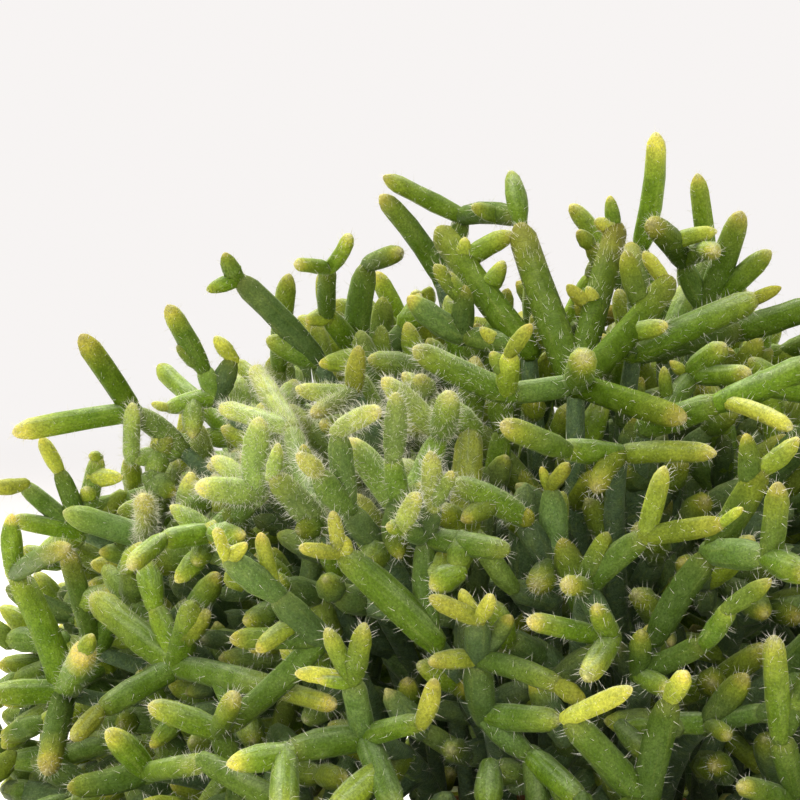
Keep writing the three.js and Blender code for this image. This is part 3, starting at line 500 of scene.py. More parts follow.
# %% [markdown]
# ## Room between the sprays
#
# Two sprays must not grow through each other. Every joint is a straight stretch with a radius, and the
# shortest distance between two stretches says whether they crowd. NumPy measures one new stretch
# against all the others in one go, which keeps thousands of joints quick.

# %% Distances between stretches
FULLNESS = 1.2  # a joint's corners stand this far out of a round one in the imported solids
SPRAY_CLEARANCE = 0.5
NEARLY_PARALLEL = 1e-9
OUT_OF_REACH = 99.0  # stands for a distance or a cost that rules nothing in


def distances(start, end, starts, ends):
    """Shortest distances from one straight stretch to each of many."""
    u, v, w = end - start, ends - starts, start - starts
    uu, uv, vv = u @ u, v @ u, np.einsum("ij,ij->i", v, v)
    uw, vw = w @ u, np.einsum("ij,ij->i", v, w)
    spread = uu * vv - uv * uv
    crossing = spread > NEARLY_PARALLEL
    s = np.where(crossing, np.clip((uv * vw - vv * uw) / np.where(crossing, spread, 1.0), 0, 1), 0.0)
    t = (uv * s + vw) / vv
    outside = (t < 0) | (t > 1)
    t = np.clip(t, 0, 1)
    s = np.where(outside, np.clip((uv * t - uw) / uu, 0, 1), s)
    return norms(w + s[:, None] * u - t[:, None] * v)


class Space:
    """Every stretch placed so far, in arrays that have room for all of them."""

    def __init__(self, room=6000):
        self.starts, self.ends = np.zeros((room, 3)), np.zeros((room, 3))
        self.radii, self.count = np.zeros(room), 0

    def add(self, start, end, radius):
        self.starts[self.count], self.ends[self.count] = start, end
        self.radii[self.count] = radius
        self.count += 1
        return self.count - 1

    def gaps(self, start, end):
        return distances(start, end, self.starts[:self.count], self.ends[:self.count])

    def crowded(self, start, end, radius, near=(), fullness=FULLNESS, clearance=SPRAY_CLEARANCE):
        """Whether a stretch comes too close to a placed one, apart from those it may touch."""
        gaps = self.gaps(start, end)
        gaps[list(near)] = OUT_OF_REACH
        return bool((gaps < (radius + self.radii[:self.count]) * fullness + clearance).any())


print("ready to place sprays")

# %% [markdown]
# ## Stems from the soil to the hearts
#
# The stems' feet start under their hearts and push each other apart until each has its own hole in the
# soil. From there a stem stands up straight and then arches outwards to its heart, like the ribs of an
# umbrella.

# %% Feet and stems
SOIL_TOP, SOIL_MOUND = 117.0, 5.0
POT_RIM_RADIUS = 75.0
ROOT_REACH, ROOT_SPACING, ROOT_TURNS, ROOT_PUSH = 55.0, 14.3, 600, 0.25
GROWN_LOWEST = math.radians(99)
STEM_RADIUS, STEM_STRETCHES, STEM_UPRIGHT, FOOT_DEPTH = 2.2, 3, 2.0, 12.0
STEM_ARCH = {"foot": 0.45, "heart": 0.3}
UPRIGHT = np.array([0.0, 0.0, 1.0])


def soil_height(distance):
    return SOIL_TOP + SOIL_MOUND * (1 - (distance / POT_RIM_RADIUS) ** 2)


def root_places(hearts):
    """Where the stems leave the soil: under their hearts, then pushed apart until they have room."""
    places = []
    for heart in hearts:
        away = heart - CROWN_CENTRE
        lean = math.acos(max(-1.0, min(1.0, away[2] / math.sqrt(away @ away)))) / GROWN_LOWEST
        flat = math.hypot(away[0], away[1])
        reach = ROOT_REACH * min(1.0, lean)
        places.append([away[0] / flat * reach, away[1] / flat * reach])
    for _ in range(ROOT_TURNS):
        for place in places:
            for other in places:
                dx, dy = place[0] - other[0], place[1] - other[1]
                squared = dx * dx + dy * dy
                if other is place or squared >= ROOT_SPACING * ROOT_SPACING:
                    continue
                length = math.sqrt(squared)
                push = (ROOT_SPACING - length) * ROOT_PUSH / length
                for axis, step in enumerate((dx * push, dy * push)):
                    place[axis] += step
                    other[axis] -= step
        for place in places:
            length = math.hypot(*place)
            if length > ROOT_REACH:
                place[:] = [v * (ROOT_REACH / length) for v in place]
    return places


def foot_of(root, depth=0.0):
    """Where a stem leaves the soil, or the point that much deeper."""
    return np.array([*root, soil_height(math.hypot(*root)) - depth])


def arch_points(root, heart, sway, stretches):
    """Points along a stem above the soil: upright at the foot, then arching outwards."""
    foot, outwards = foot_of(root), unit(heart - CROWN_CENTRE)
    sideways = unit(np.array([-outwards[1], outwards[0], 0.0]))
    length = norm(heart - foot)
    a = foot + UPRIGHT * STEM_UPRIGHT
    b = foot + UPRIGHT * length * STEM_ARCH["foot"] + sideways * sway
    c = heart - outwards * length * STEM_ARCH["heart"] + sideways * sway
    shares = [i / stretches for i in range(stretches + 1)]
    return [a * (1 - t) ** 3 + b * 3 * t * (1 - t) ** 2 + c * 3 * t * t * (1 - t) + heart * t ** 3
            for t in shares]


def stem_stretches(root, heart, sway):
    """A stem as straight stretches, with its foot in the soil."""
    points = [foot_of(root, FOOT_DEPTH)] + arch_points(root, heart, sway, STEM_STRETCHES)
    return [(a, b, STEM_RADIUS) for a, b in zip(points, points[1:])]


print("soil is", soil_height(0), "mm high in the middle")

# %% [markdown]
# ## The other sides grow by rule
#
# Behind and around the drawn front, hearts are spread over the dome on an even spiral, as seeds are in
# a sunflower. Each grows three arms sideways and one straight out, and every arm ends in one or two
# shoots. The random numbers come from a small seeded generator, so the plant is the same every time.

# %% The growing rule
GROWN_LATTICE, GROWN_SINK, GROWN_SEED = 33, 4.0, 20
DRAWN_EDGE = {"left": -118.0, "right": 50.0, "bottom": 2.0}
GROWN_ENDS, GROWN_ARMS_ROUND = (2, 2, 1, 1), 3
GROWN_LENGTHS = {"arm": (22, 6), "shoot": (15, 9)}
GROWN_RADII = {"arm": 2.5, "shoot": 2.2}
GROWN_ANGLES = {"arm": (0.95, 0.25), "shoot": (0.4, 0.35)}
GROWN_STRAIGHT, GROWN_FORK, GROWN_JITTER, GROWN_OUTWARDS = 0.15, 2.2, 0.5, 0.35
GROWN_DROOP = {"most": 0.35, "below": 0.5}


RANDOM_FACTOR, RANDOM_STEP, RANDOM_RANGE = 1664525, 1013904223, 2 ** 32  # a congruential generator


def seeded_random(seed):
    """Random numbers from 0 to 1, the same in every run."""
    state = [seed]

    def draw():
        state[0] = (state[0] * RANDOM_FACTOR + RANDOM_STEP) % RANDOM_RANGE
        return state[0] / RANDOM_RANGE

    return draw


def new_joint(grows, start, end, radius, kind, look=""):
    return {"grows": grows, "start": start, "end": end, "radius": radius, "kind": kind, "look": look}


def drawn_row(grows, across, up, width, name="joint", rise=0):
    """A row of the drawing with its usual values filled in and its name split into look and kind."""
    *look, kind = name.split()
    return grows, across, up, width, kind, "".join(look), RISE[kind] + rise


def lay_drawn(drawing, sink):
    """The joints of a drawn spray, with the whole spray moved back by sink."""
    heart_spot, behind, rows = drawing
    heart = from_board(*heart_spot, HEART_SHELL, behind + sink)[0]
    ends, joints = [(heart, HEART_SHELL)], []
    for row in rows:
        grows, across, up, width, kind, look, rise = drawn_row(*row)
        start, shell = ends[grows]
        point, scale = from_board(across, up, shell + rise, behind + sink)
        ends.append((point, shell + rise))
        joints.append(new_joint(grows, start, point, width * scale / 2, kind, look))
    return heart, joints


def lay_grown(heart, random):
    """A spray grown by rule from its heart."""
    outwards = unit(heart - CROWN_CENTRE)
    sideways = unit(np.cross(UPRIGHT, outwards))
    upwards = np.cross(outwards, sideways)
    droop = GROWN_DROOP["most"] * max(0.0, GROWN_DROOP["below"] - outwards[2])
    joints = []

    def lean(along, turn, angle):
        side = sideways * math.cos(turn) + upwards * math.sin(turn)
        return unit(along * math.cos(angle) + side * math.sin(angle) - UPRIGHT * droop)

    def draw(limits):
        return limits[0] + random() * limits[1]

    def jitter():
        return (random() - 0.5) * GROWN_JITTER

    start = random() * math.tau
    for arm, ends in enumerate(GROWN_ENDS):
        turn = start + arm * math.tau / GROWN_ARMS_ROUND + jitter()
        angle = draw(GROWN_ANGLES["arm"]) if arm < GROWN_ARMS_ROUND else GROWN_STRAIGHT
        along = lean(outwards, turn, angle)
        tip = heart + along * draw(GROWN_LENGTHS["arm"])
        joints.append(new_joint(0, heart, tip, GROWN_RADII["arm"], "joint"))
        place = len(joints)
        for end in range(ends):
            fork = turn + (end - (ends - 1) / 2) * GROWN_FORK + jitter()
            ahead = unit(along * (1 - GROWN_OUTWARDS) + outwards * GROWN_OUTWARDS)
            onward = lean(ahead, fork, draw(GROWN_ANGLES["shoot"]))
            shoot_tip = tip + onward * draw(GROWN_LENGTHS["shoot"])
            joints.append(new_joint(place, tip, shoot_tip, GROWN_RADII["shoot"], "shoot"))
    return heart, joints


def spiral(count, lowest_angle):
    """Directions from the crown's centre, spread over the dome in an even spiral."""
    lowest = math.cos(lowest_angle)
    directions = []
    for i in range(count):
        z = 1 - ((i + 0.5) / count) * (1 - lowest)
        turn, flat = i * math.pi * (3 - math.sqrt(5)), math.sqrt(1 - z * z)
        directions.append(np.array([flat * math.cos(turn), flat * math.sin(turn), z]))
    return directions


def on_drawn_front(away, margin):
    """Whether a place, measured from the crown's centre, lies on the drawn front or near its edge."""
    across, up, depth = to_board(CROWN_CENTRE + away)
    return (depth > -margin and up > DRAWN_EDGE["bottom"] - margin
            and DRAWN_EDGE["left"] - margin < across < DRAWN_EDGE["right"] + margin)


def grown_hearts():
    """An even spiral of hearts over the dome, without the drawn front."""
    aways = [away * (HEART_SHELL - GROWN_SINK) for away in spiral(GROWN_LATTICE, GROWN_LOWEST)]
    return [CROWN_CENTRE + away for away in aways if not on_drawn_front(away, 0)]


print("grown sprays", len(grown_hearts()))

# %% [markdown]
# ## Settling the sprays
#
# Every spray looks for room: it may move back into the crown, its stem may bow to one side, and as a
# last resort a joint that still crowds another spray is left off, with whatever grew on it.

# %% Settle and lay out all sprays
SINKS, SWAYS = range(0, 26, 2), (0, 6, -6, 12, -12)
COSTS = {"stem": 100.0, "joint": 1.0, "sink": 0.02, "sway": 0.002}


def without(joints, dropped):
    """The joints that stay when some are dropped: what grew on a dropped joint goes with it."""
    places, kept = [0], []
    for i, joint in enumerate(joints):
        stays = i not in dropped and places[joint["grows"]] is not None
        if stays:
            kept.append({**joint, "grows": places[joint["grows"]]})
        places.append(len(kept) if stays else None)
    return kept


def settle(lay, root, placed):
    """Lays a spray where it has room."""
    best = None
    for sink in SINKS:
        heart, joints = lay(sink)
        dropped = {i for i, j in enumerate(joints) if placed.crowded(j["start"], j["end"], j["radius"])}
        for sway in SWAYS:
            hits = sum(placed.crowded(*stretch) for stretch in stem_stretches(root, heart, sway))
            cost = (hits * COSTS["stem"] + len(dropped) * COSTS["joint"]
                    + sink * COSTS["sink"] + abs(sway) * COSTS["sway"])
            if best is None or cost < best[0]:
                best = (cost, heart, sway, joints, dropped)
        if best[0] < COSTS["joint"]:
            break
    _, heart, sway, joints, dropped = best
    joints = without(joints, dropped)
    own = [(joint["start"], joint["end"], joint["radius"]) for joint in joints]
    for piece in stem_stretches(root, heart, sway) + own:
        placed.add(*piece)
    return {"root": root, "heart": heart, "sway": sway, "joints": joints}


draw_random = seeded_random(GROWN_SEED)
layers = [lambda sink, drawing=drawing: lay_drawn(drawing, sink) for drawing in DRAWN_SPRAYS]
layers += [lambda sink, spray=lay_grown(heart, draw_random): spray for heart in grown_hearts()]
roots = root_places([lay(0)[0] for lay in layers])
settled = Space()
sprays = [settle(lay, root, settled) for lay, root in zip(layers, roots)]

# %% [markdown]
# ## Late joints
#
# Some places low down and on the other sides are still open. Each gets a joint from the nearest tip
# that can reach it without bending back and without crowding what is there.

# %% Grow the late joints
LATE_SHELLS, LATE_LATTICE, LATE_LOWEST = (99, 110, 119, 127), 200, math.radians(115)
LATE_FLOOR, LATE_FRONT = 112.0, 12.0
POT_KEEP_OUT = {"radius": 84.0, "height": 137.0}  # no joint inside this radius below this height
LATE_REACH, LATE_BEND, LATE_LENGTH_COST = (9.0, 30.0), math.radians(75), 0.03
LATE_FORK, LATE_TRIES, LATE_HOLLOW, LATE_RADIUS = math.radians(38), 8, 10.0, 2.3


def over_pot(point):
    return math.hypot(point[0], point[1]) < POT_KEEP_OUT["radius"] and point[2] < POT_KEEP_OUT["height"]


def angles(a, b):
    """The angle between a and each row of b."""
    return np.arccos(np.clip((b @ a) / (np.sqrt(a @ a) * norms(b)), -1, 1))


def late_tips():
    """Every joint's tip: its spray, place, end and reach, and the stretches that meet there."""
    tips, first = [], 0
    for spray in sprays:
        first += STEM_STRETCHES + 1
        for i, joint in enumerate(spray["joints"]):
            young = [first + k for k, other in enumerate(spray["joints"]) if other["grows"] == i + 1]
            tips.append((spray, i + 1, joint["end"], joint["end"] - joint["start"], [first + i] + young))
        first += len(spray["joints"])
    return tips


def grow_late():
    """Gives every open place that a tip can reach its late joint; returns how many grew."""
    tips, grown = late_tips(), 0
    for shell, direction in itertools.product(LATE_SHELLS, spiral(LATE_LATTICE, LATE_LOWEST)):
        target = CROWN_CENTRE + direction * shell
        if (target[2] < LATE_FLOOR or over_pot(target) or on_drawn_front(direction * shell, LATE_FRONT)
                or (settled.gaps(target, target + direction) <= LATE_HOLLOW).any()):
            continue
        gaps = target - np.array([tip[2] for tip in tips])
        lengths = norms(gaps)
        along = np.array([tip[3] for tip in tips])
        bends = np.arccos(np.clip(np.einsum("ij,ij->i", gaps, along) / lengths / norms(along), -1, 1))
        fits = (lengths > LATE_REACH[0]) & (lengths < LATE_REACH[1]) & (bends < LATE_BEND)
        costs = np.where(fits, bends + lengths * LATE_LENGTH_COST, OUT_OF_REACH)
        for best in [int(i) for i in np.argsort(costs)[:LATE_TRIES] if fits[i]]:
            spray, place, tip, _, near = tips[best]
            young = near[1:]
            headings = settled.ends[young] - settled.starts[young]
            if young and (angles(gaps[best], headings) <= LATE_FORK).any():
                continue
            if settled.crowded(tip, target, LATE_RADIUS, near):
                continue
            spray["joints"].append(new_joint(place, tip, target, LATE_RADIUS, "shoot", "fill"))
            stretch = settled.add(tip, target, LATE_RADIUS)
            near.append(stretch)
            tips.append((spray, len(spray["joints"]), target, target - tip, [stretch]))
            grown += 1
            break
    return grown


print("late joints", grow_late(), "in all", sum(len(spray["joints"]) for spray in sprays))

# %% [markdown]
# ## Buds on the front
#
# Young buds sit on the tips and shoulders of the front's joints. They are too small to be solids of
# their own, so they are added here. Each row gives the bud's tip, the spot it sprouts from, its width
# and its look; it is seated on the middle line of whatever joint passes that spot.

# %% The front's buds
FRONT_BUDS = [
    (-93, 85.6, -89.4, 84.3, 2.2, "lemon"), (-125.6, 51.4, -123.4, 46.6, 3, "amber"),
    (-107, 73.5, -104.6, 74, 2.6, "pale"), (-99, 68.5, -103, 67, 4, "lemon"),
    (-71.8, 54, -76.5, 50.6, 3.6, "lemon"), (-49.6, 55.8, -50, 51.5, 3.8, "lemon"),
    (-39.4, 58, -36, 57.5, 3.8, "hairy"), (-4, 71.2, -2, 66.5, 2.6, "amber"),
    (-6.8, 61, -8.5, 59.5, 4.6, "lemon"), (-22.2, 43.4, -18.3, 36.5, 3.8, "lemon"),
    (-55.3, 22.7, -47, 22.5, 3.6, "hairy"), (-60.3, 24, -47, 22.5, 3.6, "lemon"),
    (5.7, 17, 1.3, 20.8, 4.6, "lemon"), (42.3, 61.8, 38.3, 58.3, 2.4, "olive"),
    (25.3, 95.2, 30, 92, 2.8, "amber"), (24, 94, 24, 88, 3, "hairy"),
    (50.3, 111.5, 46, 111, 3, "lemon"), (-6, 104.5, -8, 101, 3.6, "amber"),
    (-18, 103, -15.5, 98, 3.4, "lemon"), (-15.4, 98, -14, 93, 4, "hairy"),
    (-11.3, 97.6, -11, 91, 5, ""), (8.2, 127.5, 12.2, 129.3, 4, "lemon"),
    (11.8, 133.4, 12, 128, 3.2, ""), (4.1, 124.6, 6, 120, 3.6, "pale"),
    (-58, 104.5, -53, 106, 4, "olive"), (-54.6, 116, -53, 106, 4, "olive"),
    (-78.8, 101, -74.3, 96.4, 3.6, "lemon"), (48.5, 45.5, 39.2, 39.6, 4.4, "hairy"),
    (25, 103.5, 17, 97, 4.5, "hairy"), (36, 70, 34, 64, 3.6, "hairy"),
    (-59, 77, -58, 72, 3.6, "hairy"), (-64.5, 77, -64, 72, 3.6, "hairy"),
    (-88.6, 79, -86, 74, 5, "pale"), (-91, 79.5, -88, 75, 3.5, "lemon"),
    (-107.5, 66, -104, 62, 4, "pale"), (-106, 33, -112, 30, 4, "pale"),
    (-69, 29, -58, 33, 4.2, "olive"), (19, 69, 15.5, 64, 5, "olive"), (43, 79, 40, 70, 5, ""),
    (55, 78, 46, 72, 4.6, "pale"), (-23.6, 67.4, -20, 66, 3.4, "lemon"),
    (-20, 131, -14.5, 127.5, 3.8, "hairy"), (-10, 124.6, -18.5, 115.5, 4.6, "hairy"),
    (-12.5, 118.5, -13, 110.5, 4.2, "hairy"), (7, 123.5, 2.5, 114, 4.6, "pale"),
    (2, 113, 5, 108, 3.4, "lemon"), (6.5, 112.5, 8, 108, 3.2, "lemon"),
    (15.5, 121, 20, 111, 4.8, "hairy"), (19.5, 120.5, 22, 114, 3.4, "lemon"),
    (36, 124.5, 29, 122, 3.6, "pale"), (-28.5, 118, -26.5, 110, 4, "hairy"),
    (-25.5, 116.5, -24, 110, 3.8, "hairy"), (-21.5, 124, -24, 116, 4, "pale"),
]
BUD_SPOTS = (0.45, 0.7, 0.95)  # where along a joint a bud may sit
BUD_RISE = 2.5  # how far a bud stands out of the joint towards the eye
BUD_REACH = 6.0  # a bud further than this from every joint is left off
BUD_NEARER = 0.02  # how much a joint closer to the eye is preferred, for each mm


def seat_buds():
    """Adds each bud to the spray whose joint passes its spot; returns how many found a seat."""
    spots = [(number, place, joint["start"] + (joint["end"] - joint["start"]) * share)
             for number, spray in enumerate(sprays[:len(DRAWN_SPRAYS)])
             for place, joint in enumerate(spray["joints"], 1) for share in BUD_SPOTS]
    across, up, depth = to_board(np.array([spot[2] for spot in spots]))
    seated = 0
    for tip_across, tip_up, foot_across, foot_up, width, look in FRONT_BUDS:
        off = np.hypot(across - foot_across, up - foot_up)
        nearest = int(np.argmin(off - depth * BUD_NEARER))
        if off[nearest] > BUD_REACH:
            continue
        number, place, point = spots[nearest]
        tip = on_sight_line(tip_across, tip_up, depth[nearest] + BUD_RISE)
        scale = (EYE_DISTANCE - depth[nearest]) / EYE_DISTANCE
        sprays[number]["joints"].append(new_joint(place, point, tip, width * scale / 2, "bud", look))
        seated += 1
    return seated


print("buds seated", seat_buds(), "of", len(FRONT_BUDS))

# %% [markdown]
# ## Filling the crown
#
# The sprays so far are the plant's skeleton. A real crown is packed: wherever light gets in, a joint
# grows into it. The same thing is done here with targets, spread evenly on shells from deep inside to
# the surface. Each target is reached, if it can be, by one new joint from the nearest fitting tip, as
# long as it crowds no other joint and doesn't bend back on its parent. Behind the drawn front the
# targets stay deep, so the drawn joints remain the ones that show. Last come targets on the few sight
# lines where light would still shine through the crown.

# %% Where the crown may fill up
FILL_SHELLS = ((56, 210), (66, 190), (76, 180), (85, 160), (92, 150), (98, 150), (106, 190),
               (115, 170), (124, 150))  # shell in mm, mm2 for each joint
WOOL_SHELLS = ((104, 90), (110, 80), (116, 70))  # closer ones, only in the hairiest part
EDGE_SHELLS = ((116, 90), (122, 80), (128, 70), (133, 70))  # the same for the left edge
EDGE = {"right": -84.0, "low": -30.0, "high": 62.0, "deepest": 90.0, "shell": 137.0}
BACK_SHELLS = ((60, 110), (72, 100), (84, 95), (96, 95), (110, 110))  # and for the back's lower half
BACK = {"front": -15.0, "high": 42.0}
FILL_SCATTER = 9.0  # mm: how far apart the places of one target may fall
LEAKS = ((-13, 22), (-12, 20), (28.6, 15.4), (-24.3, 2.7), (29, -2), (-121.8, 49.9), (-117.3, 43.1),
         (-124, 31.8), (-119, 30), (-125.6, 14.7), (-121, 17), (-124, 7.9), (-123, -1.1), (-116, 52),
         (-110, 62), (-125.2, 26.1), (-121.8, 22.7), (-126.3, 18.1), (-124, 10.2), (-120.7, 54.4),
         (-32.7, -2.3), (-128, 36), (-119.5, 46))  # across, up: where light would still shine through
LEAK_DEPTHS = (-4, -9, -14, -20, -26, -34, -42, -50, -60, -75, -90)
LEAK_TURNS = 2
FRONT_RADIUS, FRONT_SHARE, BEHIND_FRONT = 118.0, 0.86, 3.0  # how deep the drawn front reaches
DRAWN_BOTTOM, DRAWN_RIGHT = -6.0, 58.0  # the front is drawn above and to the left of these
SKYLINE = ((-142, 36), (-128, 60), (-112, 72), (-92, 82), (-77, 97), (-62, 107), (-42, 117),
           (-26, 121), (-8, 123), (10, 125), (32, 121), (56, 108), (80, 95))  # across, up
SKYLINE_GAP = 3.0
WOOLLY = {"left": -108.0, "right": -22.0, "low": 62.0, "high": 96.0}  # the crown's hairiest part
WOOL_FRINGE = 20.0  # the short joints reach this much lower than the wool
WOOL_DEPTH = 100.0
LARGEST_SHELL = 131.0
FILL_LOWEST = math.radians(112)


def seen_at(point):
    return [float(v) for v in to_board(point)]


def in_wool(point):
    """Whether a point lies in the crown's hairiest part, seen from the front."""
    across, up, depth = seen_at(point)
    return (depth > 0 and WOOLLY["left"] < across < WOOLLY["right"]
            and WOOLLY["low"] - WOOL_FRINGE < up < WOOLLY["high"])


def at_edge(point):
    """Whether a point lies in the bushy part at the crown's left edge."""
    across, up, depth = seen_at(point)
    return across < EDGE["right"] and EDGE["low"] < up < EDGE["high"] and abs(depth) < EDGE["deepest"]


def at_back(point):
    """Whether a point lies in the lower half of the crown's back, which must let no light through."""
    _, up, depth = seen_at(point)
    return depth < BACK["front"] and up < BACK["high"]


def has_room(point):
    """Whether a new joint may end there: under the skyline, and behind the drawn front."""
    across, up, depth = seen_at(point)
    if norm(point - CROWN_CENTRE) > (EDGE["shell"] if at_edge(point) else LARGEST_SHELL):
        return False
    if not SKYLINE[0][0] < across < SKYLINE[-1][0]:
        return True
    if up > np.interp(across, *zip(*SKYLINE)) - SKYLINE_GAP:
        return False
    if up < DRAWN_BOTTOM or across > DRAWN_RIGHT:
        return True
    front = math.sqrt(max(0.0, FRONT_RADIUS ** 2 - across ** 2 - up ** 2))
    share = 1.0 if in_wool(point) else FRONT_SHARE
    return depth < share * front - BEHIND_FRONT


def fill_targets(random):
    """Evenly spread points, shell by shell from the inside out, each moved a little at random."""
    targets = []
    for shells, wanted in ((FILL_SHELLS, None), (WOOL_SHELLS, in_wool), (EDGE_SHELLS, at_edge),
                           (BACK_SHELLS, at_back)):
        for shell, room in shells:
            count = int(math.tau * shell * shell * (1 - math.cos(FILL_LOWEST)) / room)
            ring = [CROWN_CENTRE + direction * shell + (random.random(3) - 0.5) * FILL_SCATTER
                    for direction in spiral(count, FILL_LOWEST)]
            ring = [target for target in ring if wanted is None or wanted(target)]
            targets += [ring[i] for i in random.permutation(len(ring))]
    return targets


def leak_targets():
    """Points behind one another on the sight lines that are still open."""
    return [on_sight_line(across, up, depth) for across, up in LEAKS for depth in LEAK_DEPTHS]


print("places where light shines through", len(LEAKS))

# %% Grow joints towards open space
FILL_REACH, EDGE_REACH, WOOL_REACH = (6.0, 22.0), (4.5, 20.0), (4.5, 11.5)  # shortest, longest joint
LEAK_REACH = (4.5, 26.0)
FILL_RADIUS = (2.2, 0.7)  # the least, and how much is left to chance
FILL_BEND = math.radians(78)
FILL_GAP = 0.1
FILL_TRIES = 6
LENGTH_COST, OUTWARDS_GAIN = 0.03, 0.5  # a long joint is worse, one that heads outwards is better
FREE_FOOT = (3.0, 0.3)  # mm, share: how much of a joint's foot may lie inside its parent
MOST_CHILDREN = 3
CLOSEST_SIBLING = math.cos(math.radians(38))
FILL_FLOOR = 108.0  # no new joint hangs lower
SIDE_PLACE = 0.45  # where along the first sprays' joints a side joint may sprout
LONGEST_SHOOT, FORKING_LENGTH, FORK_PLACE = 13, 14, 0.6  # and on the new joints that are long enough
STEM_STEPS, STEM_SPROUTS = 8, range(4, 8)
GREENHOUSE_SEED = 7


class Tips:
    """Places where a new joint may grow from, kept in arrays that have room for all of them."""

    def __init__(self, room=12000):
        self.places, self.along = np.zeros((room, 3)), np.zeros((room, 3))
        self.children, self.count = np.zeros(room, int), 0
        self.owner, self.near, self.siblings = [], [], []

    def add(self, place, along, owner, children, near, siblings=()):
        """near lists the stretches that meet here, siblings the headings of what grows here."""
        self.places[self.count], self.along[self.count] = place, along
        self.children[self.count] = children
        self.owner.append(owner)
        self.near.append(list(near))
        self.siblings.append(list(siblings))
        self.count += 1

    def best_for(self, target, outwards, reach):
        """The few tips from which a joint would reach the target most naturally, best first."""
        gap = target - self.places[:self.count]
        length = norms(gap)
        ahead = np.einsum("ij,ij->i", gap, self.along[:self.count]) / length
        turn = np.arccos(np.clip(ahead, -1, 1))
        fits = ((length > reach[0]) & (length < reach[1]) & (turn < FILL_BEND)
                & (self.children[:self.count] < MOST_CHILDREN))
        score = turn + LENGTH_COST * length - OUTWARDS_GAIN * (gap @ outwards) / length
        ranked = [int(i) for i in np.argsort(np.where(fits, score, OUT_OF_REACH))[:FILL_TRIES]]
        return [(i, float(length[i])) for i in ranked if fits[i]]


def enter_sprays(tips, space):
    """Fills in the stretches of the sprays so far and the places where more may grow."""
    for number, spray in enumerate(sprays):
        points = arch_points(spray["root"], spray["heart"], spray["sway"], STEM_STEPS)
        stem = [space.add(points[i], points[i + 1], STEM_RADIUS) for i in range(STEM_STEPS)]
        for i in STEM_SPROUTS:
            tips.add(points[i], unit(points[i + 1] - points[i]), (number, -i), 1, stem[i - 2:i + 1])
        here = [space.add(j["start"], j["end"], j["radius"]) for j in spray["joints"]]
        headings = [unit(j["end"] - j["start"]) for j in spray["joints"]]

        def children_of(place):
            return [i for i, j in enumerate(spray["joints"]) if j["grows"] == place]

        first = children_of(0)
        tips.add(spray["heart"], unit(points[-1] - points[-2]), (number, 0), 1,
                 stem[-2:] + [here[i] for i in first], [headings[i] for i in first])
        for i, joint in enumerate(spray["joints"]):
            if joint["kind"] == "bud":
                continue
            young = children_of(i + 1)
            near = [here[i]] + [here[k] for k in young]
            own, reach = (number, i + 1), joint["end"] - joint["start"]
            if number >= len(DRAWN_SPRAYS) or joint["kind"] == "arm":
                tips.add(joint["end"], headings[i], own, len(young), near,
                         [headings[k] for k in young])
            tips.add(joint["start"] + reach * SIDE_PLACE, headings[i], own, 2, near)


def grow_from(tips, space, best, target, length, random):
    """Grows a joint from one tip to the target if it has room there; returns whether it did."""
    start = tips.places[best].copy()
    along = (target - start) / length
    radius = FILL_RADIUS[0] + FILL_RADIUS[1] * float(random.random())
    if any(along @ sibling > CLOSEST_SIBLING for sibling in tips.siblings[best]):
        return False
    clear = start + along * min(FREE_FOOT[0], length * FREE_FOOT[1])
    if space.crowded(clear, target, radius, tips.near[best], 1.0, FILL_GAP):
        return False
    number, place = tips.owner[best]
    kind = "shoot" if length < LONGEST_SHOOT else "joint"
    sprays[number]["joints"].append(new_joint(place, start, target, radius, kind, "fill"))
    stretch = space.add(start, target, radius)
    tips.near[best].append(stretch)
    tips.siblings[best].append(along)
    tips.children[best] += 1
    own = (number, len(sprays[number]["joints"]))
    tips.add(target, along, own, 0, [stretch])
    if length > FORKING_LENGTH:
        tips.add(start + (target - start) * FORK_PLACE, along, own, 2, [stretch])
    return True


def fill_crown():
    """Grows joints towards the targets; returns how many found room."""
    random = np.random.default_rng(GREENHOUSE_SEED)
    tips, space, added = Tips(), Space(), 0
    enter_sprays(tips, space)
    targets = [(target, EDGE_REACH if at_edge(target) else FILL_REACH) for target in fill_targets(random)]
    targets += [row for row in targets if row[1] is EDGE_REACH]
    targets += [(target, LEAK_REACH) for target in leak_targets() * LEAK_TURNS]
    for target, reach in targets:
        away = target - CROWN_CENTRE
        shell = norm(away)
        if over_pot(target) or target[2] < FILL_FLOOR or not has_room(target):
            continue
        if in_wool(target) and shell > WOOL_DEPTH:
            reach = WOOL_REACH
        added += any(grow_from(tips, space, best, target, length, random)
                     for best, length in tips.best_for(target, away / shell, reach))
    return added


print("joints added", fill_crown(), "in all", sum(len(spray["joints"]) for spray in sprays))

# %% [markdown]
# ## The shape of one joint
#
# A joint is round, 4 to 7 mm thick and two to six times as long. It leaves its parent by a slightly
# narrower neck, fills out at once, keeps its width and ends in a blunt dome, while young shoots are
# more pointed. The numbers below give that outline as rings: places along the joint with a share of its
# width. There are three grades, because a joint deep in the crown needs fewer rings and sides.

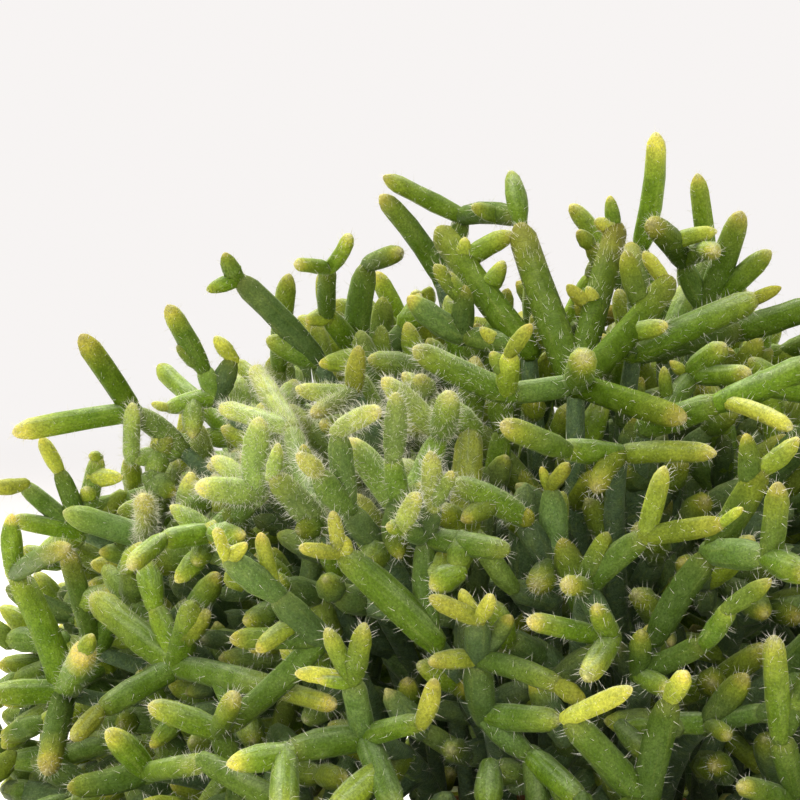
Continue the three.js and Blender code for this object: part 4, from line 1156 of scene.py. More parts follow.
# %% Rings along a joint
SIDES = {"fine": 10, "plain": 8, "deep": 6}  # for the front's joints, the others, the hidden ones
FOOT = ((1.0, 0.25), (0.6, 0.7))  # the rings inside the parent: radii back, share of the width
NECK_RINGS = {"fine": ((0.3, 0.86), (1.0, 0.97)), "plain": ((1.0, 0.95),), "deep": ((1.0, 1.0),)}
BODY_RINGS = ((0.35, 1.03), (0.7, 1.01))  # of the finest joints; the plain ones have one in the middle
MIDDLE_WIDTH = 1.03
DOMES = {  # share of the dome's length back from its end, share of the width
    "fine": ((1.0, 0.965), (0.57, 0.84), (0.25, 0.6), (0.07, 0.31), (0.0, 0.07)),
    "plain": ((1.0, 0.965), (0.42, 0.75), (0.1, 0.38), (0.0, 0.08)),
    "deep": ((1.0, 0.965), (0.3, 0.65), (0.0, 0.12)),
}
DOME_LENGTH, DOME_SHARE = 1.5, 0.6  # of a blunt tip: in radii, and at most of the joint's length
POINTED_DOME, POINTED = 0.7, 0.26  # how much longer and slimmer a pointed tip is
NECK_LENGTH, NECK_SHARE = 0.9, 0.5
RUN_ON = 0.3  # radii: how far a joint that carries others runs on into them


def smooth(low, high, x):
    t = min(1.0, max(0.0, (x - low) / (high - low)))
    return t * t * (3 - 2 * t)


def outline(length, radius, pointed, carries, grade):
    """Places along a joint with a share of its width, from inside its parent to its tip."""
    reach = length + (RUN_ON * radius if carries else 0.0)
    dome = min(DOME_LENGTH * radius * (1 + POINTED_DOME * pointed), DOME_SHARE * reach)
    neck = min(NECK_LENGTH * radius, NECK_SHARE * (reach - dome))
    rings = [(-back * min(radius, length / 2), width) for back, width in FOOT]
    rings += [(share * neck, width) for share, width in NECK_RINGS[grade]]
    if grade == "fine":
        body = reach - dome - neck
        rings += [(neck + body * share, width) for share, width in BODY_RINGS]
    elif grade == "plain":
        rings.append(((neck + reach - dome) / 2, MIDDLE_WIDTH))
    for back, width in DOMES[grade]:
        slim = 1 - POINTED * pointed * smooth(0, 1, 1 - back) * (1 if back else 0)
        rings.append((reach - back * dome, width * slim))
    return rings


print("rings in a joint", {grade: len(outline(20, 3, 0, False, grade)) for grade in SIDES})

# %% [markdown]
# ## What the skin is like
#
# Every ring also carries what the material and the bristles need to know: how ripe, how warm and how
# old the skin is there, how light the whole joint is, and how hairy. A joint under others is older and
# has fewer hairs. A joint that fills the crown gets painted shade under one or two others and painted
# light under more, where it only shows in dark gaps. Single joints that stand out by their shade are
# named by their place on the board.

# %% Looks and covers
LOOKS = {  # ripe at the foot, ripe at the tip, warmth of the tip, hairs, share that is tip
    "": (0.0, 0.3, 0.15, 0.6, 0.45),
    "fill": (0.0, 0.36, 0.12, 0.6, 0.55),
    "lemon": (0.66, 0.95, 0.08, 0.7, 0.6),
    "amber": (0.55, 0.85, 0.5, 0.6, 0.4),
    "olive": (0.35, 0.6, 0.15, 0.8, 0.5),
    "tip": (0.04, 0.9, 0.1, 0.7, 0.35),
    "orange": (0.04, 0.7, 0.75, 0.9, 0.2),
    "hairy": (0.1, 0.6, 0.2, 1.3, 0.45),
    "pale": (0.35, 0.62, 0.08, 1.0, 0.5),
}
FILL_LOOKS = (("fill", 0.45), ("tip", 0.13), ("olive", 0.12), ("hairy", 0.16), ("pale", 0.1),
              ("lemon", 0.02), ("orange", 0.02))
YOUNG_RIPER, WOOL_RIPER = (0.08, 0.12), (0.1, 0.05)  # at the foot, at the tip
POINTED_KINDS = {"joint": 0.3, "arm": 0.4, "shoot": 0.45, "bud": 0.45}
POINTED_LEAST = 0.4  # the rest is left to chance
COVER_ABOVE, COVER_WIDTH = 4.0, 6.0  # mm: what lies over a joint is higher and closer than these
HIDDEN_COVER = 5  # a joint with this many over it is hidden
HAIR_UNDER = (0.95, 0.78, 0.5, 0.2)  # share of its hairs that a joint keeps under 0, 1, 2 or more
UNDER_SHADE = (1.0, 0.92, 0.92, 1.15)  # how light a joint that fills the crown is under as many: painted shade under one or two, painted light under more
UNDER_AGE = (0.0, 0.55, 0.9, 1.0)  # how much the old, dull skin shows under as many
DEEP_SHELLS, OUTER_AGE = (84.0, 100.0), 0.5  # outside the second shell the skin is this much younger
FRESH_LOOKS, FRESH_AGE = ("lemon", "pale", "amber"), 0.4
SWELL = 1.07  # a joint is this much thicker than its stretch
BOW, BOW_OFFSET, BOW_PEAK = 0.07, 0.2, 4  # of a joint's length, how far it bends aside
UNEVEN = 0.09  # how much its width wavers
CAP, CAP_RANGE = 0.42, (0.84, 0.97)  # how much riper than the rest the outermost tip is, and where
TIP_RANGE = (1.3, 0.25)  # where a tip's colour starts and is full, in shares of the tip's length
WARM_RANGE, AREOLE_RANGE = (0.8, 1.0), (0.97, 1.0)
AGE_DULLS = 0.7  # how much of its ripe and warm colours an old skin loses
CARRYING_TIP, CARRYING_HAIR = 0.25, 0.7  # what a joint that carries others keeps of these
HAIR_ALONG, HAIR_WOOL, HAIR_YOUNG = 0.34, 2.8, 0.1
HAIR_TIP, HAIR_TIP_WOOL, HAIR_TIP_RANGE = 2.8, 1.8, (0.84, 0.98)
OLD_HAIR_LOSS = 0.6
BACK_HAIR, BACK_RANGE = 0.3, (-40, 40)  # share of the hairs on the crown's back, and where it starts
WOOL_LIGHT = 0.1  # how much lighter the skin is in the hairiest part
WOOL_BLUR = {"left": (8, 8), "right": (8, 8), "low": (8, 6), "high": (4, 8)}  # mm out and in
SHADE_RANGE = (0.66, 1.26)  # how dark and how light whole joints are
DULLEST = (0.35, -0.25)  # how much older the darkest joints look, and the lightest
TONES = {"darkest": 0.5, "dark": 0.66, "dull": 0.82, "bright": 1.45}
TONED_JOINTS = {  # across and up of the middles of joints that stand out by their shade
    "darkest": ((-3, 109), (10, 109)),
    "dark": ((17, 103), (-20, 111), (18, 85), (-104, 93)),
    "dull": ((-38, 44), (-24, 92), (-27, 48)),
    "bright": ((-105, 58), (-118, 40)),
}
TONED_REACH = 5.5
STEM_WAISTS = (1.0, 1.0, 0.7, 1.1, 0.75)  # widths of a stem at even steps from its foot to its heart
STEM_RINGS = 18
STEM_SHADE, STEM_HAIR = (0.8, 0.3), 0.04
STEM_AGE = (1.9, 1.6, 1.0)  # at the foot, how much less at the heart, and the least
SKIN_SEED = 12


def middle(joint):
    return (joint["start"] + joint["end"]) / 2


def woolly(point):
    """How far inside the crown's hairiest part a point lies, from 0 to 1."""
    across, up, depth = to_board(point)

    def past(side, value):
        before, after = WOOL_BLUR[side]
        return smooth(WOOLLY[side] - before, WOOLLY[side] + after, value)

    inside = past("left", across) * (1 - past("right", across)) * past("low", up) * (1 - past("high", up))
    return inside if depth > 0 else 0.0


def tone(joint):
    """How dark or bright a drawn joint's skin is on the whole, or None where that is left to chance."""
    across, up, _ = to_board(middle(joint))
    for name, places in TONED_JOINTS.items():
        if any(math.hypot(across - a, up - u) < TONED_REACH for a, u in places):
            return TONES[name]
    return None


def covers(joints):
    """How many joints lie over each one, looking in along the crown's radius."""
    middles = np.array([middle(joint) for joint in joints])
    away = middles - CROWN_CENTRE
    outwards = away / np.linalg.norm(away, axis=1)[:, None]
    counts = []
    for place, outward in zip(middles, outwards):
        gap = middles - place
        above = gap @ outward
        aside = np.sqrt(np.maximum(0.0, np.einsum("ij,ij->i", gap, gap) - above * above))
        counts.append(int(((above > COVER_ABOVE) & (aside < COVER_WIDTH)).sum()))
    return counts


def by_cover(table, joint):
    return table[min(joint["cover"], len(table) - 1)]


def filling_look(draw):
    """The look that a number from 0 to 1 picks for a joint that fills the crown."""
    for look, share in FILL_LOOKS:
        draw -= share
        if draw < 0:
            break
    return look


every_joint = [joint for spray in sprays for joint in spray["joints"]]
for joint, cover in zip(every_joint, covers(every_joint)):
    joint["cover"] = cover
    joint["tone"] = None if joint["look"] == "fill" or joint["kind"] == "bud" else tone(joint)
print("joints with a set tone", sum(joint["tone"] is not None for joint in every_joint))
print("joints with nothing over them", sum(joint["cover"] == 0 for joint in every_joint),
      "hidden", sum(joint["cover"] >= HIDDEN_COVER for joint in every_joint))

# %% Lines along joints and stems
class Paths:
    """Middle lines of one spray's joints and stem: points, edges and a value of each kind a point."""

    KINDS = ("thick", "sides", "ripe", "warm", "age", "shade", "hair", "areole")

    def __init__(self):
        self.points, self.edges, self.axis = [], [], []
        self.values = {kind: [] for kind in self.KINDS}

    def add(self, points, along, **values):
        """Adds one line; a single number stands for the same value at all its points."""
        first = len(self.points)
        self.points += [tuple(point * MM) for point in points]
        self.edges += [(first + i, first + i + 1) for i in range(len(points) - 1)]
        self.axis += [tuple(heading) for heading in along]
        for kind, numbers in values.items():
            self.values[kind] += [float(numbers)] * len(points) if np.isscalar(numbers) else numbers

    def as_mesh(self, name):
        mesh = bpy.data.meshes.new(name)
        mesh.from_pydata(self.points, self.edges, [])
        for kind in self.KINDS:
            layer = mesh.attributes.new(kind, "FLOAT", "POINT")
            layer.data.foreach_set("value", np.array(self.values[kind], dtype=np.float32))
        layer = mesh.attributes.new("axis", "FLOAT_VECTOR", "POINT")
        layer.data.foreach_set("vector", np.array(self.axis, dtype=np.float32).ravel())
        return mesh


def joint_path(paths, joint, carries, random):
    """Adds one joint: a slightly bowed line with its rings' widths and looks."""
    reach = joint["end"] - joint["start"]
    length = norm(reach)
    along = reach / length
    side = unit(np.cross(along, random.random(3) - 0.5))
    bow = length * BOW * (float(random.random()) - BOW_OFFSET)
    look, draw = joint["look"], float(random.random())
    depth = float(np.linalg.norm(middle(joint) - CROWN_CENTRE))
    fills, grade = look == "fill", "fine"
    if fills:
        grade = "deep" if depth < DEEP_SHELLS[0] or joint["cover"] >= HIDDEN_COVER else "plain"
        look = filling_look(draw)
    ripe_foot, ripe_tip, warm_tip, hair_tip, tip_share = LOOKS[look]
    young, wool = joint["kind"] in ("shoot", "bud"), woolly(joint["end"])
    ripe_foot += YOUNG_RIPER[0] * young + WOOL_RIPER[0] * wool
    ripe_tip = min(1.0, ripe_tip + YOUNG_RIPER[1] * young + WOOL_RIPER[1] * wool)
    pointed = POINTED_KINDS[joint["kind"]] * (POINTED_LEAST + float(random.random()))
    rings = outline(length, joint["radius"], pointed, carries, grade)
    uneven = 1 + UNEVEN * (random.random(len(rings)) - 0.5)
    rings = [(place, width * factor) for (place, width), factor in zip(rings, uneven)]
    shares = [place / length for place, _ in rings]
    points = [joint["start"] + along * place + side * bow * BOW_PEAK * s * (1 - s)
              for (place, _), s in zip(rings, shares)]
    age = (1 - OUTER_AGE * smooth(*DEEP_SHELLS, depth)) * by_cover(UNDER_AGE, joint)
    if look in FRESH_LOOKS:
        age *= FRESH_AGE
    light = float(random.random())
    duller = 0.0 if joint["tone"] else DULLEST[0] + (DULLEST[1] - DULLEST[0]) * light
    shade = SHADE_RANGE[0] + (SHADE_RANGE[1] - SHADE_RANGE[0]) * light
    shade = (joint["tone"] or shade) * (1 + WOOL_LIGHT * wool)
    # painted shade under one or two joints, painted light under more, where a joint only shows in dark gaps
    if fills:
        shade *= by_cover(UNDER_SHADE, joint)
    cap = 0.0 if carries else CAP * float(random.random())
    caps = [cap * smooth(*CAP_RANGE, s) for s in shares]
    tips = [smooth(1 - tip_share * TIP_RANGE[0], 1 - tip_share * TIP_RANGE[1], s) for s in shares]
    hair_along = HAIR_ALONG + HAIR_WOOL * wool + (HAIR_YOUNG if young else 0)
    hair = [hair_along + hair_tip * (HAIR_TIP + HAIR_TIP_WOOL * wool) * smooth(*HAIR_TIP_RANGE, s)
            for s in shares]
    kept = by_cover(HAIR_UNDER, joint) * (1 - OLD_HAIR_LOSS * age)
    kept *= BACK_HAIR + (1 - BACK_HAIR) * smooth(*BACK_RANGE, to_board(joint["end"])[2])
    areole = 0.0 if carries else [smooth(*AREOLE_RANGE, s) for s in shares]
    if carries:
        tips, hair = [t * CARRYING_TIP for t in tips], [h * CARRYING_HAIR for h in hair]
    bright = 1 - AGE_DULLS * age
    paths.add(points, [along] * len(points), sides=SIDES[grade], age=age + duller, shade=shade,
              thick=[joint["radius"] * SWELL * width * MM for _, width in rings],
              ripe=[(ripe_foot + (ripe_tip - ripe_foot) * t) * bright + c for t, c in zip(tips, caps)],
              warm=[warm_tip * smooth(*WARM_RANGE, s) * bright + c for s, c in zip(shares, caps)],
              hair=[h * kept for h in hair], areole=areole)


def stem_path(paths, spray, random):
    """Adds a spray's stem: old, slim, narrower where its long joints meet, rooted in the soil."""
    points = [foot_of(spray["root"], FOOT_DEPTH)]
    points += arch_points(spray["root"], spray["heart"], spray["sway"], STEM_RINGS)
    places = [0.0] + [1 + STEM_STRETCHES * i / STEM_RINGS for i in range(STEM_RINGS + 1)]
    widths = np.interp(places, range(len(STEM_WAISTS)), STEM_WAISTS)
    count, (oldest, younger, least) = len(points), STEM_AGE
    heading = [unit(points[min(i + 1, count - 1)] - points[max(i - 1, 0)]) for i in range(count)]
    paths.add(points, heading, thick=[STEM_RADIUS * MM * w for w in widths], sides=SIDES["plain"],
              areole=0.0, ripe=0.0, warm=0.0,
              age=[max(least, oldest - younger * i / count) for i in range(count)],
              shade=STEM_SHADE[0] + STEM_SHADE[1] * float(random.random()), hair=STEM_HAIR)


random = np.random.default_rng(SKIN_SEED)
all_paths = []
for spray in sprays:
    paths = Paths()
    stem_path(paths, spray, random)
    carrying = {joint["grows"] for joint in spray["joints"] if joint["kind"] != "bud"}
    for place, joint in enumerate(spray["joints"], 1):
        joint_path(paths, joint, place in carrying, random)
    all_paths.append(paths)
print("rings in all", sum(len(paths.points) for paths in all_paths))

# %% [markdown]
# ## Geometry Nodes: a skin round every middle line
#
# The tree turns each chain of points into a curve, takes the width from the attribute and sweeps a
# small ring along it. The front's joints get a ring with more sides than those that fill the crown, and
# the hidden ones get the fewest. Every other point of a ring is pushed in a little, which gives the
# stems their faint ribs.

# %% The tree for the joints' skin
RIB_DEPTH = 0.05


def swept_ring(tree, paths, sides, rib_depth):
    """Sweeps a ribbed ring along every path, as wide as the path's attribute says."""
    curves = add_node(tree, "GeometryNodeMeshToCurve", {0: paths}).outputs[0]
    ring = add_node(tree, "GeometryNodeCurvePrimitiveCircle", {"Resolution": sides, "Radius": 1.0})
    odd = math_node(tree, "MODULO", add_node(tree, "GeometryNodeInputIndex").outputs[0], 2.0)
    size = math_node(tree, "SUBTRACT", 1.0, times(tree, odd, rib_depth))
    ribbed = vector_node(tree, "SCALE", add_node(tree, "GeometryNodeInputPosition").outputs[0], scale=size)
    ring = add_node(tree, "GeometryNodeSetPosition", {"Geometry": ring.outputs[0], "Position": ribbed})
    return add_node(tree, "GeometryNodeCurveToMesh",
                    {"Curve": curves, "Profile Curve": ring.outputs[0],
                     "Scale": attribute(tree, "thick"), "Fill Caps": True}).outputs[0]


def skin_tree():
    tree, given = new_tree("skin_round_paths", "Joints", Paths="Geometry", Fine_Sides="Int",
                           Plain_Sides="Int", Deep_Sides="Int", Rib_Depth="Float", Skin="Material")
    wanted = attribute(tree, "sides")
    joined = tree.nodes.new("GeometryNodeJoinGeometry")
    for sides in ("Fine Sides", "Plain Sides", "Deep Sides"):
        these = math_node(tree, "COMPARE", wanted, given[sides])
        paths = add_node(tree, "GeometryNodeSeparateGeometry",
                         {"Geometry": given["Paths"], "Selection": these}).outputs[0]
        tree.links.new(swept_ring(tree, paths, given[sides], given["Rib Depth"]), joined.inputs[0])
    soft = add_node(tree, "GeometryNodeSetShadeSmooth", {"Geometry": joined.outputs[0]}).outputs[0]
    return end_tree(tree, soft, given["Skin"])


joint_tree = skin_tree()
print("tree", joint_tree.name, "with", len(joint_tree.nodes), "nodes")

# %% [markdown]
# ## The skin
#
# The stems are juicy and a little see-through, so light enters the skin and spreads: that is
# subsurface scattering. Old joints are a dull grey-green, grown ones green, young ones yellow-green, and
# the ripest tips turn lemon or orange; the old grey-green is also painted lighter than it is, as painted
# light in the crown's dark gaps. A painted highlight makes the upper sides paler, in streaks along the
# joint, where light from above falls, and a velvet of fine noise breaks up the colour. Hairs too fine to be
# built are a pale fuzz. All the differences between joints come from the attributes, and the noise adds
# what is within a joint.

# %% The stems' material
YOUNG = (0.245, 0.305, 0.026, 1.0)
GROWN = (0.118, 0.205, 0.011, 1.0)
# the old skin's dull grey-green, partly painted light: made lighter and greyer so the crown's dark gaps
# look lit
DEEP = (0.108, 0.165, 0.078, 1.0)
LEMON = (0.47, 0.46, 0.055, 1.0)
ORANGE = (0.70, 0.50, 0.10, 1.0)
BARK = (0.12, 0.13, 0.07, 1.0)
PALE_DOT = (0.42, 0.47, 0.20, 1.0)
STREAK = (0.25, 0.31, 0.06, 1.0)
FUZZ = (0.55, 0.58, 0.42, 1.0)
AREOLE = (0.72, 0.60, 0.42, 1.0)
DOWN = (0.42, 0.46, 0.27, 1.0)  # the pale down that dulls the hairiest joints
PAINTED_HIGHLIGHT = (0.46, 0.54, 0.36, 1.0)  # painted highlight: paler streaks on the upper sides, where light from above falls
DOT_SHARE, STREAK_SHARE, WARM_SHARE, AREOLE_SHARE, PAINTED_HIGHLIGHT_SHARE, DOWN_SHARE = 0.4, 0.4, 0.75, 0.3, 0.42, 0.2
SKIN_SCALES = {"streaks": 1000.0, "mottle": 260.0, "fine": 1500.0, "dots": 900.0, "velvet": 2300.0,
               "fuzz": 3400.0, "waves": 480.0}  # noise: how many times it repeats in a metre
ALONG_STREAKS, ALONG_FUZZ = 0.93, 0.6  # how much these are drawn out along the joint
MOST = (0.3, 0.7)  # between these lies most of a noise's range
AGE_MOTTLE, RIPE_MOTTLE, SHADE_MOTTLE = 0.18, 0.08, (0.82, 1.16)
VELVET_SHADE = (0.66, 1.32)
WOODY_AGE = (1.4, 1.8)  # the stems' age: from the first on they turn to bark
SHEEN_AND_HIGHLIGHT_SHADES = (0.66, 0.86)  # joints darker than the first have no painted highlight, no sheen and little fuzz
DOWNY_HAIR = (1.2, 3.4)  # the hair attribute: from the first on the down begins to show
FUZZ_EDGE, DOT_EDGE, STREAK_EDGE = (0.64, 0.76), (0.13, 0.05), (0.54, 0.74)  # where each pattern starts
VELVET_EDGE = (0.32, 0.68)
# where the painted highlight falls: on sides that face up, in streaks along the joint
UPPER_SIDES, STREAKY_HIGHLIGHT = (0.25, 0.95), (0.38, 0.64, 0.1, 1.0)
FUZZ_BY_HAIR, DARK_FUZZ = (0.2, 1.8, 0.16, 0.6), 0.4
RELIEF = {"streaks": 0.8, "fine": 0.25, "fuzz": 0.15, "waves": 1.2}
SHEEN_BY_HAIR, SKIN_GLOSS, SKIN_ROUGHNESS = (0.3, 1.8, 0.1, 0.36), (0.05, 0.2), (0.4, 0.56)
SKIN_BUMP = (0.62, 0.0005)  # strength and height in metres

skin, tree, shader, spot = new_material(
    "stem skin", Subsurface_Weight=0.3, Subsurface_Scale=0.002, Subsurface_Radius=(0.9, 1.0, 0.25),
    IOR=1.4, Sheen_Roughness=0.2, Sheen_Tint=(0.88, 0.95, 0.70, 1.0))


def trait(name, output="Fac"):
    return add_node(tree, "ShaderNodeAttribute", attribute_name=name).outputs[output]


def drawn_out(share):
    """Object coordinates squeezed along the joint, which draws a pattern out that way."""
    back = vector_node(tree, "SCALE", axis, scale=times(tree, height_along, share))
    return vector_node(tree, "SUBTRACT", spot, back)


def grain(name, place, *roughness):
    return noise(tree, place, SKIN_SCALES[name], *roughness)


axis = trait("axis", "Vector")
height_along = vector_node(tree, "DOT_PRODUCT", spot, axis, output="Value")
streaks = grain("streaks", drawn_out(ALONG_STREAKS), 2.0, 0.6)
mottle = grain("mottle", spot, 3.0, 0.6)
fine = grain("fine", spot, 2.0, 0.6)
fuzz = stretch(tree, grain("fuzz", drawn_out(ALONG_FUZZ), 1.0), *FUZZ_EDGE)
cells = add_node(tree, "ShaderNodeTexVoronoi", {"Vector": spot, "Scale": SKIN_SCALES["dots"]})
dots = stretch(tree, cells.outputs["Distance"], *DOT_EDGE)
sheen_and_highlight = stretch(tree, trait("shade"), *SHEEN_AND_HIGHLIGHT_SHADES)

age = plus(tree, trait("age"), stretch(tree, mottle, *MOST, -AGE_MOTTLE, AGE_MOTTLE))
ripe = plus(tree, trait("ripe"), stretch(tree, mottle, *MOST, -RIPE_MOTTLE, RIPE_MOTTLE))
colour = mix_colours(tree, times(tree, age, 1.0, clamp=True), GROWN, DEEP)
# painted highlight: the upper sides made paler in streaks, where light from above falls
upward = add_node(tree, "ShaderNodeSeparateXYZ",
                  {0: add_node(tree, "ShaderNodeNewGeometry").outputs["Normal"]}).outputs["Z"]
highlight_mask = times(tree, stretch(tree, upward, *UPPER_SIDES, 0.0, PAINTED_HIGHLIGHT_SHARE),
              stretch(tree, streaks, *STREAKY_HIGHLIGHT))
young_share = math_node(tree, "SUBTRACT", 1.0, times(tree, trait("age"), 1.0, clamp=True))
hairy = times(tree, stretch(tree, trait("hair"), *FUZZ_BY_HAIR),
              stretch(tree, sheen_and_highlight, 0.0, 1.0, DARK_FUZZ, 1.0))
for factor, layer in (
        (stretch(tree, trait("age"), *WOODY_AGE), BARK),
        (stretch(tree, ripe, 0.0, 0.5), YOUNG),
        (stretch(tree, ripe, 0.5, 1.0), LEMON),
        (times(tree, trait("warm"), WARM_SHARE), ORANGE),
        (stretch(tree, streaks, *STREAK_EDGE, 0.0, STREAK_SHARE), STREAK),
        (times(tree, dots, DOT_SHARE), PALE_DOT),
        (times(tree, highlight_mask, times(tree, young_share, sheen_and_highlight)), PAINTED_HIGHLIGHT),
        (times(tree, fuzz, hairy), FUZZ),
        (stretch(tree, trait("hair"), *DOWNY_HAIR, 0.0, DOWN_SHARE), DOWN),
        (times(tree, trait("areole"), AREOLE_SHARE), AREOLE)):
    colour = mix_colours(tree, factor, colour, layer)
velvet = times(tree, stretch(tree, grain("velvet", spot, 3.0, 0.7), *VELVET_EDGE, *VELVET_SHADE),
               stretch(tree, mottle, *MOST, *SHADE_MOTTLE))
relief = plus(tree, times(tree, streaks, RELIEF["streaks"]), times(tree, fine, RELIEF["fine"]),
              times(tree, fuzz, RELIEF["fuzz"]), times(tree, grain("waves", spot), RELIEF["waves"]))
fill_inputs(tree, shader, {
    "Base Color": add_node(tree, "ShaderNodeHueSaturation", {
        "Color": colour, "Value": times(tree, trait("shade"), velvet)}).outputs[0],
    "Sheen Weight": times(tree, stretch(tree, trait("hair"), *SHEEN_BY_HAIR), sheen_and_highlight),
    "Specular IOR Level": stretch(tree, sheen_and_highlight, 0.0, 1.0, *SKIN_GLOSS),
    "Roughness": stretch(tree, fine, *MOST, *SKIN_ROUGHNESS),
    "Normal": bump(tree, relief, *SKIN_BUMP),
})
print("skin material with", len(tree.nodes), "nodes")

# %% [markdown]
# ## One piece for each spray
#
# Every spray becomes one plain mesh, numbered like its imported node, which is hidden.

# %% Build the sprays
def triangles(mesh):
    return sum(len(polygon.vertices) - 2 for polygon in mesh.polygons)


spray_pieces = []
for number, paths in enumerate(all_paths, 1):
    piece = run_tree(joint_tree, paths.as_mesh("paths"), f"stems_{number:02d}", Fine_Sides=SIDES["fine"],
                     Plain_Sides=SIDES["plain"], Deep_Sides=SIDES["deep"], Rib_Depth=RIB_DEPTH, Skin=skin)
    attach(piece, "root")
    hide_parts(f"spray_{number:02d}")
    spray_pieces.append(piece)
print("triangles in the sprays", sum(triangles(piece.data) for piece in spray_pieces))

# %% [markdown]
# ## Bristles
#
# A stem carries fine white bristles, one or two millimetres long. They are sparse along it and densest
# round its tip, where they lean forward like a brush. The tree scatters points on a spray's skin by its
# "hair" attribute, sets a thin three-sided cone on each and leans it towards the tip.

# %% The tree for the bristles
HAIR_DENSITY = 600000.0  # bristles on a square metre of skin where the hair attribute is 1
HAIR_LENGTH = (0.7, 2.1)
HAIR_WIDTH = 0.027  # as a share of the length
HAIR_SPREAD, HAIR_FORWARD = 0.65, 0.35
HAIR_SIDES = 3
HAIR_COLOURS = (0.86, 0.85, 0.76, 1.0), (0.72, 0.66, 0.46, 1.0)


def bristle_tree():
    tree, given = new_tree("bristles_on_skin", "Bristles", Skin="Geometry", Density="Float",
                           Shortest="Float", Longest="Float", Width="Float", Seed="Int",
                           Bristle="Material")
    scatter = add_node(tree, "GeometryNodeDistributePointsOnFaces", {
        "Mesh": given["Skin"], "Density": times(tree, attribute(tree, "hair"), given["Density"]),
        "Seed": given["Seed"]})
    spread = random_value(tree, (-HAIR_SPREAD,) * 3, (HAIR_SPREAD,) * 3, seed=3)
    forward = vector_node(tree, "SCALE", attribute(tree, "axis", "FLOAT_VECTOR"), scale=HAIR_FORWARD)
    heading = vector_node(tree, "ADD", vector_node(tree, "ADD", scatter.outputs["Normal"], forward), spread)
    turn = add_node(tree, "FunctionNodeAlignRotationToVector", {"Vector": heading}, axis="Z")
    length = stretch(tree, random_value(tree, 0.0, 1.0, seed=9), 0.0, 1.0, given["Shortest"],
                     given["Longest"])
    cone = add_node(tree, "GeometryNodeMeshCone", {"Vertices": HAIR_SIDES, "Radius Top": 0.0,
                                                   "Radius Bottom": given["Width"], "Depth": 1.0})
    placed = add_node(tree, "GeometryNodeInstanceOnPoints",
                      {"Points": scatter.outputs["Points"], "Instance": cone.outputs["Mesh"],
                       "Rotation": turn.outputs[0], "Scale": length}).outputs[0]
    return end_tree(tree, placed, given["Bristle"])


hair_tree = bristle_tree()
print("tree", hair_tree.name, "with", len(hair_tree.nodes), "nodes")

# %% Build the bristles
bristle, tree, shader, spot = new_material("bristle", Roughness=0.5, Sheen_Weight=0.3)
fill_inputs(tree, shader, {"Base Color": mix_colours(tree, noise(tree, spot, 120.0), *HAIR_COLOURS)})

bristle_count = 0
for number, stems in enumerate(spray_pieces, 1):
    piece = run_tree(hair_tree, stems.data, f"bristles_{number:02d}", Density=HAIR_DENSITY,
                     Shortest=HAIR_LENGTH[0] * MM, Longest=HAIR_LENGTH[1] * MM,
                     Width=HAIR_WIDTH, Seed=number, Bristle=bristle)
    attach(piece, "root")
    bristle_count += len(piece.data.polygons) // (HAIR_SIDES + 1)
print("bristles", bristle_count)

# %% [markdown]
# ## The pot
#
# A thrown clay pot is a solid of revolution: its outline, turned about the axis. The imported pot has
# thirty flat sides; this one has many more, with rounded edges and faint rings from the potter's
# fingers, inside the same outline. Three drain holes are cut through its floor.

# %% Turn the pot
POT_HEIGHT, POT_FOOT_RADIUS, POT_WALL, POT_FLOOR = 130.0, 52.0, 5.0, 7.0
POT_BAND_HEIGHT, POT_BAND_STEP, POT_BEVEL = 24.0, 4.0, 1.5
POT_ROUNDING = (0, 1.5, 1.2, 1.6, 2.0, 1.8, 2.0, 0)  # mm, at each corner of the outline
POT_SIDES = 120
ROUNDING_STEPS = 3
WALL_STEP = 2.5  # mm between the rings of vertices on a wall
FINGER_DEPTH, FINGER_TURNS = 0.18, 1.7  # mm, and radians for each mm of height
FINGER_INSIDE, FINGER_EDGE = 46, 3  # mm: no rings nearer to the axis, nor this close to foot and rim
DRAIN_HOLES, DRAIN_RADIUS, DRAIN_RING, DRAIN_SIDES = 3, 4.0, 26.0, 32
DRAIN_TURN = math.pi / 6


def rounded(corner, before, after, radius):
    """A corner of an outline as a small arc."""
    corner, before, after = (np.array(p, float) for p in (corner, before, after))
    a, b = unit(before - corner) * radius + corner, unit(after - corner) * radius + corner
    shares = [i / ROUNDING_STEPS for i in range(ROUNDING_STEPS + 1)]
    return [tuple(a * (1 - t) ** 2 + corner * 2 * t * (1 - t) + b * t * t) for t in shares]


def pot_outline():
    collar, inside = POT_HEIGHT - POT_BAND_HEIGHT, POT_RIM_RADIUS - POT_BAND_STEP - POT_WALL
    shoulder = POT_RIM_RADIUS - POT_BAND_STEP - POT_BEVEL
    corners = [(0, 0), (POT_FOOT_RADIUS, 0), (shoulder, collar), (POT_RIM_RADIUS, collar),
               (POT_RIM_RADIUS, POT_HEIGHT), (inside, POT_HEIGHT),
               (POT_FOOT_RADIUS - POT_WALL, POT_FLOOR), (0, POT_FLOOR)]
    line = [corners[0]]
    for i in range(1, len(corners) - 1):
        line += rounded(corners[i], corners[i - 1], corners[i + 1], POT_ROUNDING[i])
    return line + [corners[-1]]


